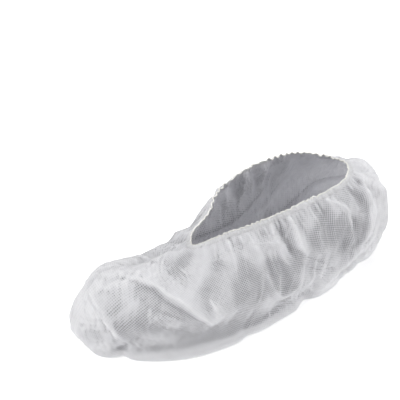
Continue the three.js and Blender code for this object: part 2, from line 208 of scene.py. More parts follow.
FOLDS: tuple[Fold, ...] = (
    Fold("vamp_lap", ((0.2, 1.25), *LAP_LINE), 0.014, 0.0036, 0.65, 0.6),
    Fold("vamp_under", ((0.4, 1.45), (1.3, 1.7), (2.2, 2.4)), 0.011, -0.0022, 0.0, 0.2),
    Fold("lap_tip", ((2.4, 2.3), (2.4, 1.95), (2.2, 1.5)), 0.010, 0.0016, -0.4, 0.6),
    Fold("toe_facet", ((13.95, 2.2), (14.4, 2.25), (14.8, 2.45)), 0.011, 0.0026, 0.2, 0.8),
    Fold("toe_pleat", ((13.55, 1.9), (13.85, 2.4), (14.1, 2.9)), 0.006, 0.0018, 0.4, 0.9),
    Fold("toe_tuck", ((13.2, 2.1), (13.5, 2.5), (13.75, 3.0)), 0.006, -0.0018, 0.3, 0.9),
    Fold("toe_corner", ((0.25, 2.55), (0.45, 2.4), (0.8, 2.55), (1.0, 2.8)), 0.007, -0.0009, 0.0, 0.4),
    Fold("toe_notch", ((1.05, 2.8), (1.25, 3.4)), 0.010, -0.0006, 0.0, 0.2),
    Fold("toe_side", ((0.9, 1.9), (2.2, 2.7)), 0.014, -0.0024, 0.0, 0.1),
    Fold("wall_foot", ((1.3, 3.1), (2.1, 3.3), (3.2, 3.45), (3.9, 3.5)), 0.007, -0.0006, 0.0, 0.2),
    Fold("side_crease", ((3.4, 2.5), (3.35, 3.0), (3.2, 3.6)), 0.008, -0.0014, 0.3, 0.6),
    Fold("waist_crease", ((2.5, 0.4), (2.95, 1.7)), 0.011, -0.0018, 0.0, 0.3),
    Fold("rim_pleat", ((4.2, 0.0), (4.1, 0.5)), 0.005, 0.0016, 0.3, 0.8),
    Fold("mid_pleat", ((4.6, 0.0), (4.5, 0.8), (4.55, 1.3)), 0.007, 0.0026, 0.5, 0.7),
    Fold("mid_valley", ((4.35, 0.2), (4.3, 1.2)), 0.009, -0.0020, 0.0, 0.3),
    Fold("pocket_arch", ((5.4, 0.05), (5.6, 0.5), (5.55, 1.0), (5.5, 1.7)), 0.008, 0.0036, -0.3, 0.8),
    Fold("pocket_soft", ((5.45, 0.5), (5.25, 1.25), (5.1, 2.25)), 0.009, 0.0018, 0.0, 0.2),
    Fold("pocket_hollow", ((4.95, 0.4), (4.9, 1.6)), 0.013, -0.0016, 0.0, 0.1),
    Fold("sag_high", ((4.45, 1.2), (4.7, 1.75), (5.0, 2.3)), 0.009, -0.0013, -0.3, 0.4),
    Fold("sag_low", ((4.4, 1.55), (4.7, 2.15), (5.1, 2.5)), 0.009, -0.0013, -0.3, 0.4),
    Fold("side_patch", ((3.65, 1.4), (3.9, 2.4), (4.25, 2.4), (4.4, 1.9)), 0.008, 0.0020, 0.3, 0.7),
    Fold("heel_valley", VALLEY_LINE, 0.010, -0.0020, 0.0, 0.3),
    Fold("heel_sweep", SWEEP_LINE, 0.010, 0.0042, 0.1, 0.7),
    Fold("heel_slope", SLOPE_LINE, 0.008, 0.0036, 0.2, 0.8),
    Fold("heel_gutter", GUTTER_LINE, 0.007, -0.0014, 0.0, 0.5),
    Fold("heel_skirt", ((6.45, 2.3), (6.3, 3.2), (5.45, 3.2), (4.6, 3.0)), 0.008, 0.0026, 0.0, 0.6),
    Fold("heel_crease", ((6.85, 0.8), (6.4, 0.75), (6.15, 1.0)), 0.007, -0.0012, 0.0, 0.6),
    Fold("heel_bag", ((6.9, 0.6), (6.5, 1.5), (6.35, 2.2)), 0.013, 0.0030, 0.0, 0.2),
    Fold("throat_crease", ((11.9, 1.35), (12.8, 0.8), (13.7, 0.25)), 0.008, -0.0024, 0.4, 0.7),
    Fold("toe_soft", ((12.3, 1.55), (13.2, 1.1), (13.85, 0.8)), 0.007, -0.0012, 0.0, 0.4),
    Fold("far_pocket", FAR_POCKET_LINE, 0.013, 0.0030, -0.3, 0.4),
    Fold("far_crease", ((9.3, 0.4), (9.35, 1.3), (9.5, 2.2)), 0.010, -0.0026, 0.2, 0.6),
    Fold("far_ridge", ((10.0, 0.3), (10.2, 1.1), (10.3, 1.9)), 0.011, 0.0024, 0.3, 0.5),
    Fold("far_sag", ((8.9, 1.9), (9.5, 2.4), (10.4, 2.5), (11.2, 2.2)), 0.009, -0.0024, 0.3, 0.6),
    Fold("far_slope", ((7.75, 1.1), (8.2, 1.8), (8.9, 2.6), (9.8, 3.0)), 0.011, 0.0034, -0.2, 0.4),
    Fold("far_gutter", ((7.5, 1.9), (8.2, 2.4), (8.9, 3.0)), 0.009, -0.0030, 0.0, 0.5),
    Fold("far_waist", ((11.0, 0.6), (11.3, 1.4), (11.2, 2.4)), 0.010, -0.0020, 0.0, 0.5),
    Fold("far_toe_crease", ((12.5, 1.9), (11.8, 2.6)), 0.012, -0.0014, 0.0, 0.4),
    Fold("far_vamp", ((13.3, 1.7), (12.9, 1.6), (12.3, 1.6)), 0.018, 0.0050, 0.0, 0.0),
    Fold("far_hollow", ((11.75, 1.3), (11.5, 1.9)), 0.014, -0.0024, 0.0, 0.1),
    Fold("far_toe_ridge", ((13.2, 2.1), (12.7, 2.8)), 0.011, 0.0020, 0.3, 0.7),
)

DENTS: tuple[Dent, ...] = (
    Dent("toe_notch", 1.22, 0.12, 0.0038),
    Dent("toe_bag", 0.75, 0.22, -0.0025),
    Dent("toe_left", 13.7, 0.15, 0.0020),
    Dent("side_tuck", 3.25, 0.16, 0.0024),
    Dent("mid_tuck", 4.45, 0.16, 0.0050),
    Dent("heel_tuck", 5.3, 0.14, 0.0030),
    Dent("heel_corner", 5.65, 0.25, 0.0055),
    Dent("heel_back", 6.6, 0.16, 0.0025),
    Dent("far_heel_tuck", 8.3, 0.16, 0.0025),
    Dent("far_mid_tuck", 9.8, 0.15, 0.0028),
    Dent("far_ball_tuck", 11.6, 0.16, 0.0022),
    Dent("far_toe_tuck", 12.7, 0.14, 0.0025),
)

# Fold lines with painted shade on one side; a negative amount paints that side lighter.
FOLD_SHADE_EDGES: tuple[FoldShadeEdge, ...] = (
    FoldShadeEdge("under_vamp", ((0.35, 1.2), *LAP_LINE), 0.016, 0.7),
    FoldShadeEdge("lap_tip", ((2.4, 2.3), (2.4, 1.95), (2.2, 1.5), (2.5, 0.9)), 0.030, -0.3),
    FoldShadeEdge("toe_facet", ((0.98, 2.85), (0.8, 2.45), (0.4, 2.3), (0.0, 2.3)), 0.045, 0.7),
    FoldShadeEdge("toe_bag", ((13.8, 2.2), (14.0, 2.3), (14.4, 2.3), (14.8, 2.45), (15.0, 2.85)), 0.050, -1.1),
    FoldShadeEdge("wall_foot", ((3.9, 3.45), (3.2, 3.4), (2.1, 3.25), (1.3, 3.05)), 0.030, 0.3),
    FoldShadeEdge("pocket_arch", ((5.4, 0.1), (5.6, 0.5), (5.55, 1.0), (5.5, 1.7)), 0.030, 0.8),
    FoldShadeEdge("side_patch", ((4.4, 1.9), (4.25, 2.4), (3.9, 2.4), (3.65, 1.4)), 0.020, 0.7),
    FoldShadeEdge("heel_sweep", SWEEP_LINE, 0.018, 0.6),
    FoldShadeEdge("heel_gutter", ((6.55, 0.95), (6.3, 1.8), (5.95, 2.3), (5.55, 2.55)), 0.008, 0.3),
    FoldShadeEdge("far_pocket", FAR_POCKET_LINE, 0.030, 0.7),
    FoldShadeEdge("far_toe", ((12.5, 2.6), (13.3, 1.6)), 0.040, 0.6),
)

TIGHT_ZONES: tuple[Zone, ...] = (
    Zone("toe_side", 1.7, 2.2, 0.6, 0.5, 0.05),
    Zone("low_side", 2.7, 2.8, 0.7, 0.5, 0.8),
    Zone("waist", 3.2, 1.6, 0.6, 0.9, 1.3),
    Zone("pocket", 4.95, 0.9, 0.4, 0.7, 0.85),
    Zone("heel_top", 6.05, 0.5, 0.4, 0.5, 1.25),
    Zone("quarter", 5.45, 1.4, 0.45, 0.7, 1.5),
    Zone("throat", 0.5, 0.35, 0.8, 0.3, 0.4),
    Zone("vamp", 2.1, 1.2, 0.6, 0.6, 0.6),
    Zone("side", 4.0, 1.8, 0.5, 0.8, 0.95),
    Zone("far_quarter", 9.2, 1.2, 0.7, 0.9, 0.6),
    Zone("far_waist", 11.0, 1.8, 0.8, 0.8, 0.6),
    Zone("toe_fold", 0.6, 2.6, 0.28, 0.35, 1.2),
    Zone("toe_bag", 13.4, 2.2, 0.5, 0.9, -1.2),
    Zone("toe_corner", 0.75, 3.1, 0.4, 0.5, -0.15),
    Zone("toe_notch", 1.15, 3.05, 0.22, 0.35, -0.9),
    Zone("heel_bag", 6.45, 1.6, 0.55, 1.6, -1.3),
    Zone("heel_foot", 5.5, 3.0, 0.9, 0.5, -1.0),
    Zone("quarter_foot", 4.4, 3.3, 0.8, 0.35, -0.7),
    Zone("far_throat", 11.7, 1.3, 0.5, 0.7, -0.6),
    Zone("far_heel_bag", 8.0, 1.8, 0.6, 1.4, -0.9),
)

CALM_ZONES: tuple[Zone, ...] = (
    Zone("toe_side", 1.5, 2.4, 1.0, 0.9, 1.0),
    Zone("vamp", 2.2, 1.0, 0.8, 0.7, 0.6),
)


def smooth_step(values: np.ndarray, low: float, high: float) -> np.ndarray:
    """Eases from 0 at low to 1 at high."""
    share = np.clip((values - low) / (high - low), 0.0, 1.0)
    return share * share * (3.0 - 2.0 * share)


def fade_out(values: np.ndarray, low: float, high: float) -> np.ndarray:
    """Eases from 1 at low to 0 at high."""
    return 1.0 - smooth_step(values, low, high)


def mix(first: float, second: float, share: np.ndarray) -> np.ndarray:
    """Numbers between two, the first where the share is 0."""
    return first + (second - first) * share


def waves(angle: np.ndarray, rows: Waves, start: np.ndarray | float = 0.0) -> np.ndarray:
    """Sine waves added up on a start.

    Args:
        angle: Where the waves are read.
        rows: Each wave's height, count and phase.
        start: What the waves are added to.

    Returns:
        One number for each angle.
    """
    total = start
    for height, count, phase in rows:
        total = total + height * np.sin(count * angle + phase)
    return total


def mid_swell(place: np.ndarray, end: float) -> np.ndarray:
    """A swell along a line, 1 in its middle, and the higher at its ends the larger end is."""
    return np.sin(math.pi * (end + (1.0 - 2.0 * end) * place))


def spline(knots: Sequence[np.ndarray], share: np.ndarray) -> np.ndarray:
    """A uniform Catmull-Rom curve from the second to the third of four points.

    Args:
        knots: The four points.
        share: Place along the span, 0 to 1.

    Returns:
        Points on the curve.
    """
    before, here, there, after = knots
    square = share * share
    cube = square * share
    return 0.5 * (
        2.0 * here
        + (there - before) * share
        + (2.0 * before - 5.0 * here + 4.0 * there - after) * square
        + (3.0 * here - before - 3.0 * there + after) * cube
    )


def unit(vectors: np.ndarray) -> np.ndarray:
    """Vectors of length 1 in the same directions."""
    return vectors / np.maximum(np.linalg.norm(vectors, axis=-1, keepdims=True), TINY)


def lengths_along(points: np.ndarray) -> np.ndarray:
    """Length along a line at each of its points, from 0."""
    steps = np.linalg.norm(np.diff(points, axis=0), axis=1)
    return np.concatenate([[0.0], np.cumsum(steps)])


def points_at(places: np.ndarray, run: np.ndarray, points: np.ndarray) -> np.ndarray:
    """Points at places along a line whose own points lie at the lengths of run."""
    return np.stack([np.interp(places, run, column) for column in points.T], axis=-1)


def quads(numbers: np.ndarray) -> list[list[int]]:
    """Corners of the faces between neighbours in a grid of point numbers."""
    corners = (numbers[:-1, :-1], numbers[:-1, 1:], numbers[1:, 1:], numbers[1:, :-1])
    return np.stack(corners, axis=-1).reshape(-1, 4).tolist()


@dataclass(frozen=True)
class SoftNoise:
    """Seeded noise in space, with lumps of one size."""

    seed: int
    size: float
    cells: int = 24

    def at(self, points: np.ndarray) -> np.ndarray:
        """Smooth noise from -1 to 1.

        Args:
            points: Places, as rows of x, y, z.

        Returns:
            One number for each point.
        """
        lattice = np.random.default_rng(self.seed).uniform(-1.0, 1.0, (self.cells,) * 3)
        place = points / self.size
        corner = np.floor(place).astype(int)
        share = smooth_step(place - corner, 0.0, 1.0)
        total = np.zeros(points.shape[:-1])
        for step in np.ndindex(2, 2, 2):
            index = (corner + np.array(step)) % self.cells
            weight = np.ones(points.shape[:-1])
            for axis, far in enumerate(step):
                weight = weight * (share[..., axis] if far else 1.0 - share[..., axis])
            total += weight * lattice[index[..., 0], index[..., 1], index[..., 2]]
        return total

    def around(self, angle: np.ndarray) -> np.ndarray:
        """Smooth noise along a circle of radius 1, which closes."""
        return self.at(np.stack([np.cos(angle), np.sin(angle), np.zeros(angle.shape)], axis=-1))

    def cell(self, points: np.ndarray) -> np.ndarray:
        """Squared distance to the nearest of scattered places, which meets in sharp creases between them.

        Args:
            points: Places, as rows of x, y, z.

        Returns:
            One number for each point, about 0 to 1.
        """
        jitter = np.random.default_rng(self.seed).uniform(0.0, 1.0, (self.cells,) * 3 + (3,))
        place = points / self.size
        corner = np.floor(place).astype(int)
        nearest = np.full(points.shape[:-1], np.inf)
        for step in np.ndindex(3, 3, 3):
            there = corner + np.array(step) - 1
            index = there % self.cells
            seed = there + jitter[index[..., 0], index[..., 1], index[..., 2]]
            nearest = np.minimum(nearest, np.sum((place - seed) ** 2, axis=-1))
        return nearest


@dataclass(frozen=True)
class WrinkleBand:
    """Wrinkles of one kind: their noise, spacing around in stations, length down in falls, and share."""

    noise: SoftNoise
    across: float
    down: float
    share: float


@dataclass
class CoverForm:
    """The form that the cloth has taken, by the turn round it, 0 to 1, and the fall from its mouth."""

    foot_rise: float = 0.009
    flat_share: float = 0.28
    seam_share: float = 0.93
    tangent_step: float = 1e-4
    mouth_weight: float = 1.6
    mouth_steps: int = 400
    pace_step: float = 0.004
    line_steps: int = 6
    dent_rise: Span = (2.3, 3.6)
    dent_fade: Span = (4.2, 5.0)
    gather_count: int = 22
    gather_depth: float = 0.0020
    gather_sway: Waves = ((1.1, 2.0, 0.0), (0.5, 5.0, 0.0))
    gather_rise: Span = (0.0, 0.4)
    gather_fade: Span = (0.6, 2.1)
    rim_gathers: float = 0.3
    throat_gathers: float = 0.35
    even_gathers: float = 0.65
    uneven_gathers: float = 0.35
    ruffle_count: int = 66
    ruffle_depth: float = 0.0006
    ruffle_sway: Waves = ((2.8, 4.0, 0.6), (1.8, 9.0, 2.0))
    ruffle_fade: Span = (0.05, 0.55)
    ruffle_even: float = 0.55
    ruffle_uneven: float = 0.9
    ruffle_noise: SoftNoise = SoftNoise(41, 0.11)
    pleat_count: int = 47
    pleat_depth: float = 0.0011
    pleat_rise: Span = (0.02, 0.15)
    pleat_fade: Span = (0.3, 1.3)
    pleat_sway: float = 3.0
    pleat_wander: SoftNoise = SoftNoise(51, 0.16)
    pleat_reach: float = 0.45
    pleat_spread: float = 0.4
    pleat_length: SoftNoise = SoftNoise(52, 0.07)
    throat_pleats: float = 0.4
    wrinkle_level: float = 0.4
    wrinkle_depth: float = 0.0030
    wrinkle_rise: Span = (0.05, 0.6)
    wrinkle_warp: SoftNoise = SoftNoise(21, 0.9)
    wrinkle_bend: tuple[float, float, float] = (0.5, 0.15, 0.0)
    wrinkle_bands: tuple[WrinkleBand, ...] = (
        WrinkleBand(SoftNoise(5, 1.0), 0.34, 1.6, 1.0),
        WrinkleBand(SoftNoise(9, 1.0), 0.19, 1.0, 0.5),
    )
    toe_wrinkles: float = 0.25
    toe_span: Span = (1.6, 3.6)
    heel_calm: float = 0.2
    heel_span: Span = (4.8, 6.2)
    heel_slant: float = 0.6
    heel_reach: float = 2.2
    foot_wrinkles: float = 0.4
    foot_span: Span = (2.2, 3.0)
    fold_end: float = 0.45
    fold_tip: float = 0.08
    fold_fade: Span = (3.2, 3.9)
    crest_from: float = 0.55
    crest_half: float = 0.0042
    crest_share: float = 0.24
    crest_tip: float = 0.05
    # Blur and taper of the painted shade beside fold lines.
    fold_shade_blur: float = 0.0012
    fold_shade_tip: float = 0.1
    shift: np.ndarray = field(default_factory=lambda: np.zeros(3))

    def loop(self, columns: tuple[str, ...], turns: np.ndarray) -> np.ndarray:
        """Values of the stations' columns along the closed loop.

        Args:
            columns: Names of the stations' fields.
            turns: Places around.

        Returns:
            One row of values for each turn.
        """
        rows = np.array([[getattr(s, c) for c in columns] for s in STATIONS])
        count = len(rows)
        place = np.mod(turns, 1.0) * count
        first = np.floor(place).astype(int)
        share = (place - first)[..., None]
        return spline([rows[(first + k) % count] for k in (-1, 0, 1, 2)], share)

    def rim(self, turns: np.ndarray) -> np.ndarray:
        """Points of the mouth."""
        return self.loop(("rim_x", "rim_y", "rim_z"), turns)

    def edge(self, turns: np.ndarray) -> np.ndarray:
        """Points of the sole's outline, which lifts at the toe."""
        return self.loop(("edge_x", "edge_y", "edge_z"), turns)

    def seam(self, turns: np.ndarray) -> np.ndarray:
        """Points of the sole seam, shared by the two sides."""
        middle = 0.5 * (self.edge(turns) + self.edge(1.0 - turns))
        return middle * np.array((1.0, self.seam_share, 0.0))

    def outward(self, turns: np.ndarray) -> np.ndarray:
        """Level unit vectors that point out of the sole's outline."""
        along = self.edge(turns + self.tangent_step) - self.edge(turns - self.tangent_step)
        return unit(np.stack([along[..., 1], -along[..., 0], np.zeros(turns.shape)], axis=-1))

    def wall(self, turns: np.ndarray, falls: np.ndarray) -> np.ndarray:
        """Points of the smooth wall.

        Args:
            turns: Places around.
            falls: Falls from the mouth, of a shape that fits the turns.

        Returns:
            Points of the same shape.
        """
        turns, falls = np.broadcast_arrays(turns, falls)
        outward = self.outward(turns)
        swell = self.loop(("swell_high", "swell_low", "foot_in"), turns)
        rim = self.rim(turns)
        edge = self.edge(turns)
        foot = edge - outward * swell[..., 2:3]
        foot[..., 2] += self.foot_rise
        chord = foot - rim
        lie = unit(chord)
        belly = unit(outward - lie * np.sum(outward * lie, axis=-1, keepdims=True))
        high = rim + chord / 3.0 + belly * swell[..., 0:1]
        low = rim + chord * 2.0 / 3.0 + belly * swell[..., 1:2]
        flat = edge + (self.seam(turns) - edge) * self.flat_share
        flat[..., 2] = 0.0
        knots = np.stack([2.0 * rim - high, rim, high, low, foot, edge, flat, 2.0 * flat - edge])
        span = np.clip(np.floor(falls).astype(int), Fall.RIM, Fall.EDGE)
        share = (falls - span)[..., None]
        places = np.indices(turns.shape)
        points = spline([knots[(span + k, *places)] for k in range(4)], share)
        points[..., 2] = np.maximum(points[..., 2], 0.0)
        return points

    @staticmethod
    def stations_off(turns: np.ndarray, station: float) -> np.ndarray:
        """Distance round the cover from a station, counted in stations."""
        around = np.abs(turns * len(STATIONS) - station)
        return np.minimum(around, len(STATIONS) - around)

    def dents(self, turns: np.ndarray, falls: np.ndarray) -> np.ndarray:
        """Level shifts that draw the edge in and out.

        Args:
            turns: Places around.
            falls: Falls from the mouth.

        Returns:
            Vectors of the same shape.
        """
        depth = np.zeros(turns.shape)
        for dent in DENTS:
            around = self.stations_off(turns, dent.station) / dent.width
            depth = depth + dent.depth * np.exp(-(around**2))
        share = smooth_step(falls, *self.dent_rise) * fade_out(falls, *self.dent_fade)
        return -self.outward(turns) * (depth * share)[..., None]

    def even_turns(self, count: int) -> np.ndarray:
        """Turns whose spacing is fair to both the mouth and the sole, alike on the two sides.

        Args:
            count: How many turns.

        Returns:
            Turns from 0 upwards.
        """
        fine = np.linspace(0.0, 1.0, FINE_STEPS)
        pace = np.zeros(len(fine) - 1)
        for curve, weight in ((self.edge, 1.0), (self.rim, self.mouth_weight)):
            length = np.linalg.norm(np.diff(curve(fine), axis=0), axis=1)
            pace += weight * (length + length[::-1])
        run = np.concatenate([[0.0], np.cumsum(pace)])
        return np.interp(np.arange(count) * run[-1] / count, run, fine)

    def pace(self, turns: np.ndarray) -> np.ndarray:
        """Spacing of the mouth there as a share of even spacing, at most 1: small at the throat.

        Args:
            turns: Places around.

        Returns:
            One share for each turn.
        """
        gap = np.linalg.norm(self.rim(turns + self.pace_step) - self.rim(turns - self.pace_step), axis=-1)
        mouth = self.rim(np.linspace(0.0, 1.0, self.mouth_steps))
        whole = np.linalg.norm(np.diff(mouth, axis=0), axis=1).sum()
        return np.minimum(1.0, gap / (2.0 * self.pace_step * whole))

    def mouth_angle(self, turns: np.ndarray) -> np.ndarray:
        """Length along the mouth as an angle, whole once round.

        Args:
            turns: Places around.

        Returns:
            One angle for each turn.
        """
        fine = np.linspace(0.0, 1.0, FINE_STEPS)
        run = lengths_along(self.rim(fine))
        return np.interp(turns, fine, run / run[-1]) * TURN

    def gathers(self, turns: np.ndarray, falls: np.ndarray) -> np.ndarray:
        """How far the elastic's gathers and the ruffles between them lift the cloth.

        Args:
            turns: Places around.
            falls: Falls from the mouth.

        Returns:
            Lifts of the same shape.
        """
        along = self.mouth_angle(turns)
        wide = np.cos(waves(along, self.gather_sway, self.gather_count * along))
        uneven = self.even_gathers + self.uneven_gathers * np.sin(3.0 * along + 1.0) * np.cos(7.0 * along)
        deep = mix(self.rim_gathers, 1.0, smooth_step(falls, *self.gather_rise))
        lift = self.gather_depth * wide * uneven * deep * fade_out(falls, *self.gather_fade)
        small = np.cos(self.ruffle_count * along + waves(along, self.ruffle_sway))
        patchy = self.ruffle_even + self.ruffle_uneven * self.ruffle_noise.around(along)
        shallow = fade_out(falls, *self.ruffle_fade) * patchy
        return (lift + self.ruffle_depth * small * shallow) * mix(self.throat_gathers, 1.0, self.pace(turns))

    def pleats(self, turns: np.ndarray, falls: np.ndarray) -> np.ndarray:
        """Short narrow pleats that start at the elastic.

        Args:
            turns: Places around.
            falls: Falls from the mouth.

        Returns:
            Lifts of the same shape.
        """
        along = self.mouth_angle(turns)
        wander = self.pleat_sway * self.pleat_wander.around(along)
        crest = np.maximum(0.0, np.cos(self.pleat_count * along + wander)) ** 3
        length = self.pleat_reach + self.pleat_spread * self.pleat_length.around(along)
        shown = smooth_step(falls, *self.pleat_rise) * fade_out(falls / length, *self.pleat_fade)
        return self.pleat_depth * crest * shown * mix(self.throat_pleats, 1.0, self.pace(turns))

    def line(self, path: Path) -> np.ndarray:
        """Points of the smooth wall along a path.

        Args:
            path: The path's (station, fall) places.

        Returns:
            Rows of x, y, z.
        """
        knots = np.array(path)
        knots = np.concatenate([2.0 * knots[:1] - knots[1:2], knots, 2.0 * knots[-1:] - knots[-2:-1]])
        at = np.linspace(0.0, len(path) - 1.0, self.line_steps * len(path))
        span = np.minimum(np.floor(at).astype(int), len(path) - 2)
        places = spline([knots[span + k] for k in range(4)], (at - span)[:, None])
        return self.wall(places[:, 0] / len(STATIONS), places[:, 1])

    @staticmethod
    def beside(line: np.ndarray, points: np.ndarray, normals: np.ndarray, reach: float) -> np.ndarray:
        """Where points lie beside a line.

        Args:
            line: Points along the line.
            points: Points of the wall.
            normals: Outward normals there.
            reach: Distance past which a point counts as far away.

        Returns:
            Distance, side of the line from -1 to 1, and share of the line's length.
        """
        inside = np.all((points > line.min(axis=0) - reach) & (points < line.max(axis=0) + reach), axis=-1)
        close, facing = points[inside], normals[inside]
        nearest = np.full(len(close), 1.0)
        side = np.zeros(len(close))
        place = np.zeros(len(close))
        for i in range(1, len(line)):
            start, run = line[i - 1], line[i] - line[i - 1]
            share = np.clip((close - start) @ run / max(run @ run, TINY_SQUARE), 0.0, 1.0)
            away = close - start - share[:, None] * run
            distance = np.linalg.norm(away, axis=1)
            closer = distance < nearest
            across = np.sum(unit(away) * unit(np.cross(run, facing)), axis=1)
            nearest = np.where(closer, distance, nearest)
            side = np.where(closer, across, side)
            place = np.where(closer, (i - 1 + share) / (len(line) - 1), place)
        whole = np.zeros((3,) + points.shape[:-1])
        whole[0] = 1.0
        whole[:, inside] = np.stack([nearest, side, place])
        return whole

    def wrinkles(self, turns: np.ndarray, falls: np.ndarray) -> np.ndarray:
        """Long uneven wrinkles that run down from the mouth, slanting forwards round the heel.

        Args:
            turns: Places around.
            falls: Falls from the mouth.

        Returns:
            Lifts of the same shape.
        """
        count = len(STATIONS)
        stations, falls = np.broadcast_arrays(turns * count, falls)
        behind = stations - 0.5 * count
        slant = np.clip(-0.5 * behind, -self.heel_slant, self.heel_slant)
        slant = slant * np.exp(-((behind / self.heel_reach) ** 2))
        places = np.stack([stations + slant * falls, falls, np.zeros(stations.shape)], axis=-1)
        warp = self.wrinkle_warp.at(places)[..., None] * np.array(self.wrinkle_bend)
        total = np.zeros(stations.shape)
        for band in self.wrinkle_bands:
            stretched = places / np.array((band.across, band.down, 1.0)) + warp
            total += band.share * (self.wrinkle_level - np.abs(band.noise.at(stretched)))
        toe = np.minimum(stations, count - stations)
        loose = mix(self.toe_wrinkles, 1.0, smooth_step(toe, *self.toe_span))
        loose = loose - self.heel_calm * smooth_step(toe, *self.heel_span)
        foot = mix(1.0, self.foot_wrinkles, smooth_step(falls, *self.foot_span))
        return self.wrinkle_depth * total * loose * foot * smooth_step(falls, *self.wrinkle_rise)

    def folds(self, points: np.ndarray, normals: np.ndarray) -> np.ndarray:
        """How far the folds lift the cloth at points of the smooth wall.

        Args:
            points: Points of the wall.
            normals: Outward normals there.

        Returns:
            One lift for each point.
        """
        lift = np.zeros(points.shape[:-1])
        for fold in FOLDS:
            nearest, side, place = self.beside(self.line(fold.path), points, normals, 2.0 * fold.half_width)
            reach = fold.half_width * (1.0 - fold.lean * side)
            share = np.clip(nearest / reach, 0.0, 1.0)
            round_crest = 0.5 * (1.0 + np.cos(math.pi * share))
            sharp_crest = (1.0 - share) ** 2
            taper = mix(self.fold_end, 1.0, mid_swell(place, self.fold_tip))
            lift += fold.height * taper * ((1.0 - fold.crisp) * round_crest + fold.crisp * sharp_crest)
        return lift

    def crests(self, points: np.ndarray, normals: np.ndarray) -> np.ndarray:
        """How far the sharp crests of the crisp folds stand out of their round flanks.

        Args:
            points: Points of the wall.
            normals: Outward normals there.

        Returns:
            One lift for each point.
        """
        lift = np.zeros(points.shape[:-1])
        for fold in FOLDS:
            if fold.crisp >= self.crest_from:
                nearest, _, place = self.beside(self.line(fold.path), points, normals, self.crest_half)
                share = np.clip(1.0 - nearest / self.crest_half, 0.0, 1.0)
                lift += self.crest_share * fold.height * share * mid_swell(place, self.crest_tip)
        return lift

    def patch(self, zone: Zone, turns: np.ndarray, falls: np.ndarray) -> np.ndarray:
        """A zone's amount at places, whole in its middle and fading outwards."""
        around = self.stations_off(turns, zone.station) / zone.along
        return zone.amount * np.exp(-(around**2) - ((falls - zone.fall) / zone.down) ** 2)

    def grey_and_fold_shade(
        self, turns: np.ndarray, falls: np.ndarray, points: np.ndarray, normals: np.ndarray
    ) -> np.ndarray:
        """Grey patches of the cloth and painted shade beside its fold lines, before its folds are counted.

        Args:
            turns: Places around.
            falls: Falls from the mouth.
            points: Points of the smooth wall there.
            normals: Outward normals there.

        Returns:
            One value for each point, about -1 to 1.
        """
        grey_and_shade = np.zeros(points.shape[:-1])
        for zone in TIGHT_ZONES:
            share = self.patch(zone, turns, falls)
            grey_and_shade = np.maximum(grey_and_shade, share) if zone.amount > 0.0 else grey_and_shade + share
        # Painted shade on one side of each fold line.
        for edge in FOLD_SHADE_EDGES:
            nearest, side, place = self.beside(self.line(edge.path), points, normals, edge.reach)
            past = smooth_step(side * nearest, -self.fold_shade_blur, self.fold_shade_blur)
            inside = past * fade_out(nearest, 0.0, edge.reach)
            grey_and_shade = grey_and_shade + edge.amount * inside * mid_swell(place, self.fold_shade_tip)
        return grey_and_shade


@dataclass
class Sock:
    """A value in a shader tree that Python's operators work on."""

    tree: "ShaderTree"
    socket: bpy.types.NodeSocket

    def math(self, operation: str, *values: "Sock | float") -> "Sock":
        """A Math node of some values in order."""
        return self.tree.node("ShaderNodeMath", {"operation": operation}, dict(enumerate(values)))

    def __add__(self, other: "Sock | float") -> "Sock":
        """Sum."""
        return self.math("ADD", self, other)

    def __radd__(self, other: float) -> "Sock":
        """Sum with a number first."""
        return self.math("ADD", other, self)

    def __sub__(self, other: "Sock | float") -> "Sock":
        """Difference."""
        return self.math("SUBTRACT", self, other)

    def __rsub__(self, other: float) -> "Sock":
        """Difference from a number."""
        return self.math("SUBTRACT", other, self)

    def __mul__(self, other: "Sock | float") -> "Sock":
        """Product."""
        return self.math("MULTIPLY", self, other)

    def __rmul__(self, other: float) -> "Sock":
        """Product with a number first."""
        return self.math("MULTIPLY", other, self)

    def cosine(self) -> "Sock":
        """Cosine."""
        return self.math("COSINE", self)

    def absolute(self) -> "Sock":
        """Size without the sign."""
        return self.math("ABSOLUTE", self)

    def ramp(self, low: float, high: float) -> "Sock":
        """Eases from 0 at low to 1 at high."""
        span = {"Value": self, "From Min": low, "From Max": high}
        return self.tree.node("ShaderNodeMapRange", {"interpolation_type": "SMOOTHSTEP"}, span)


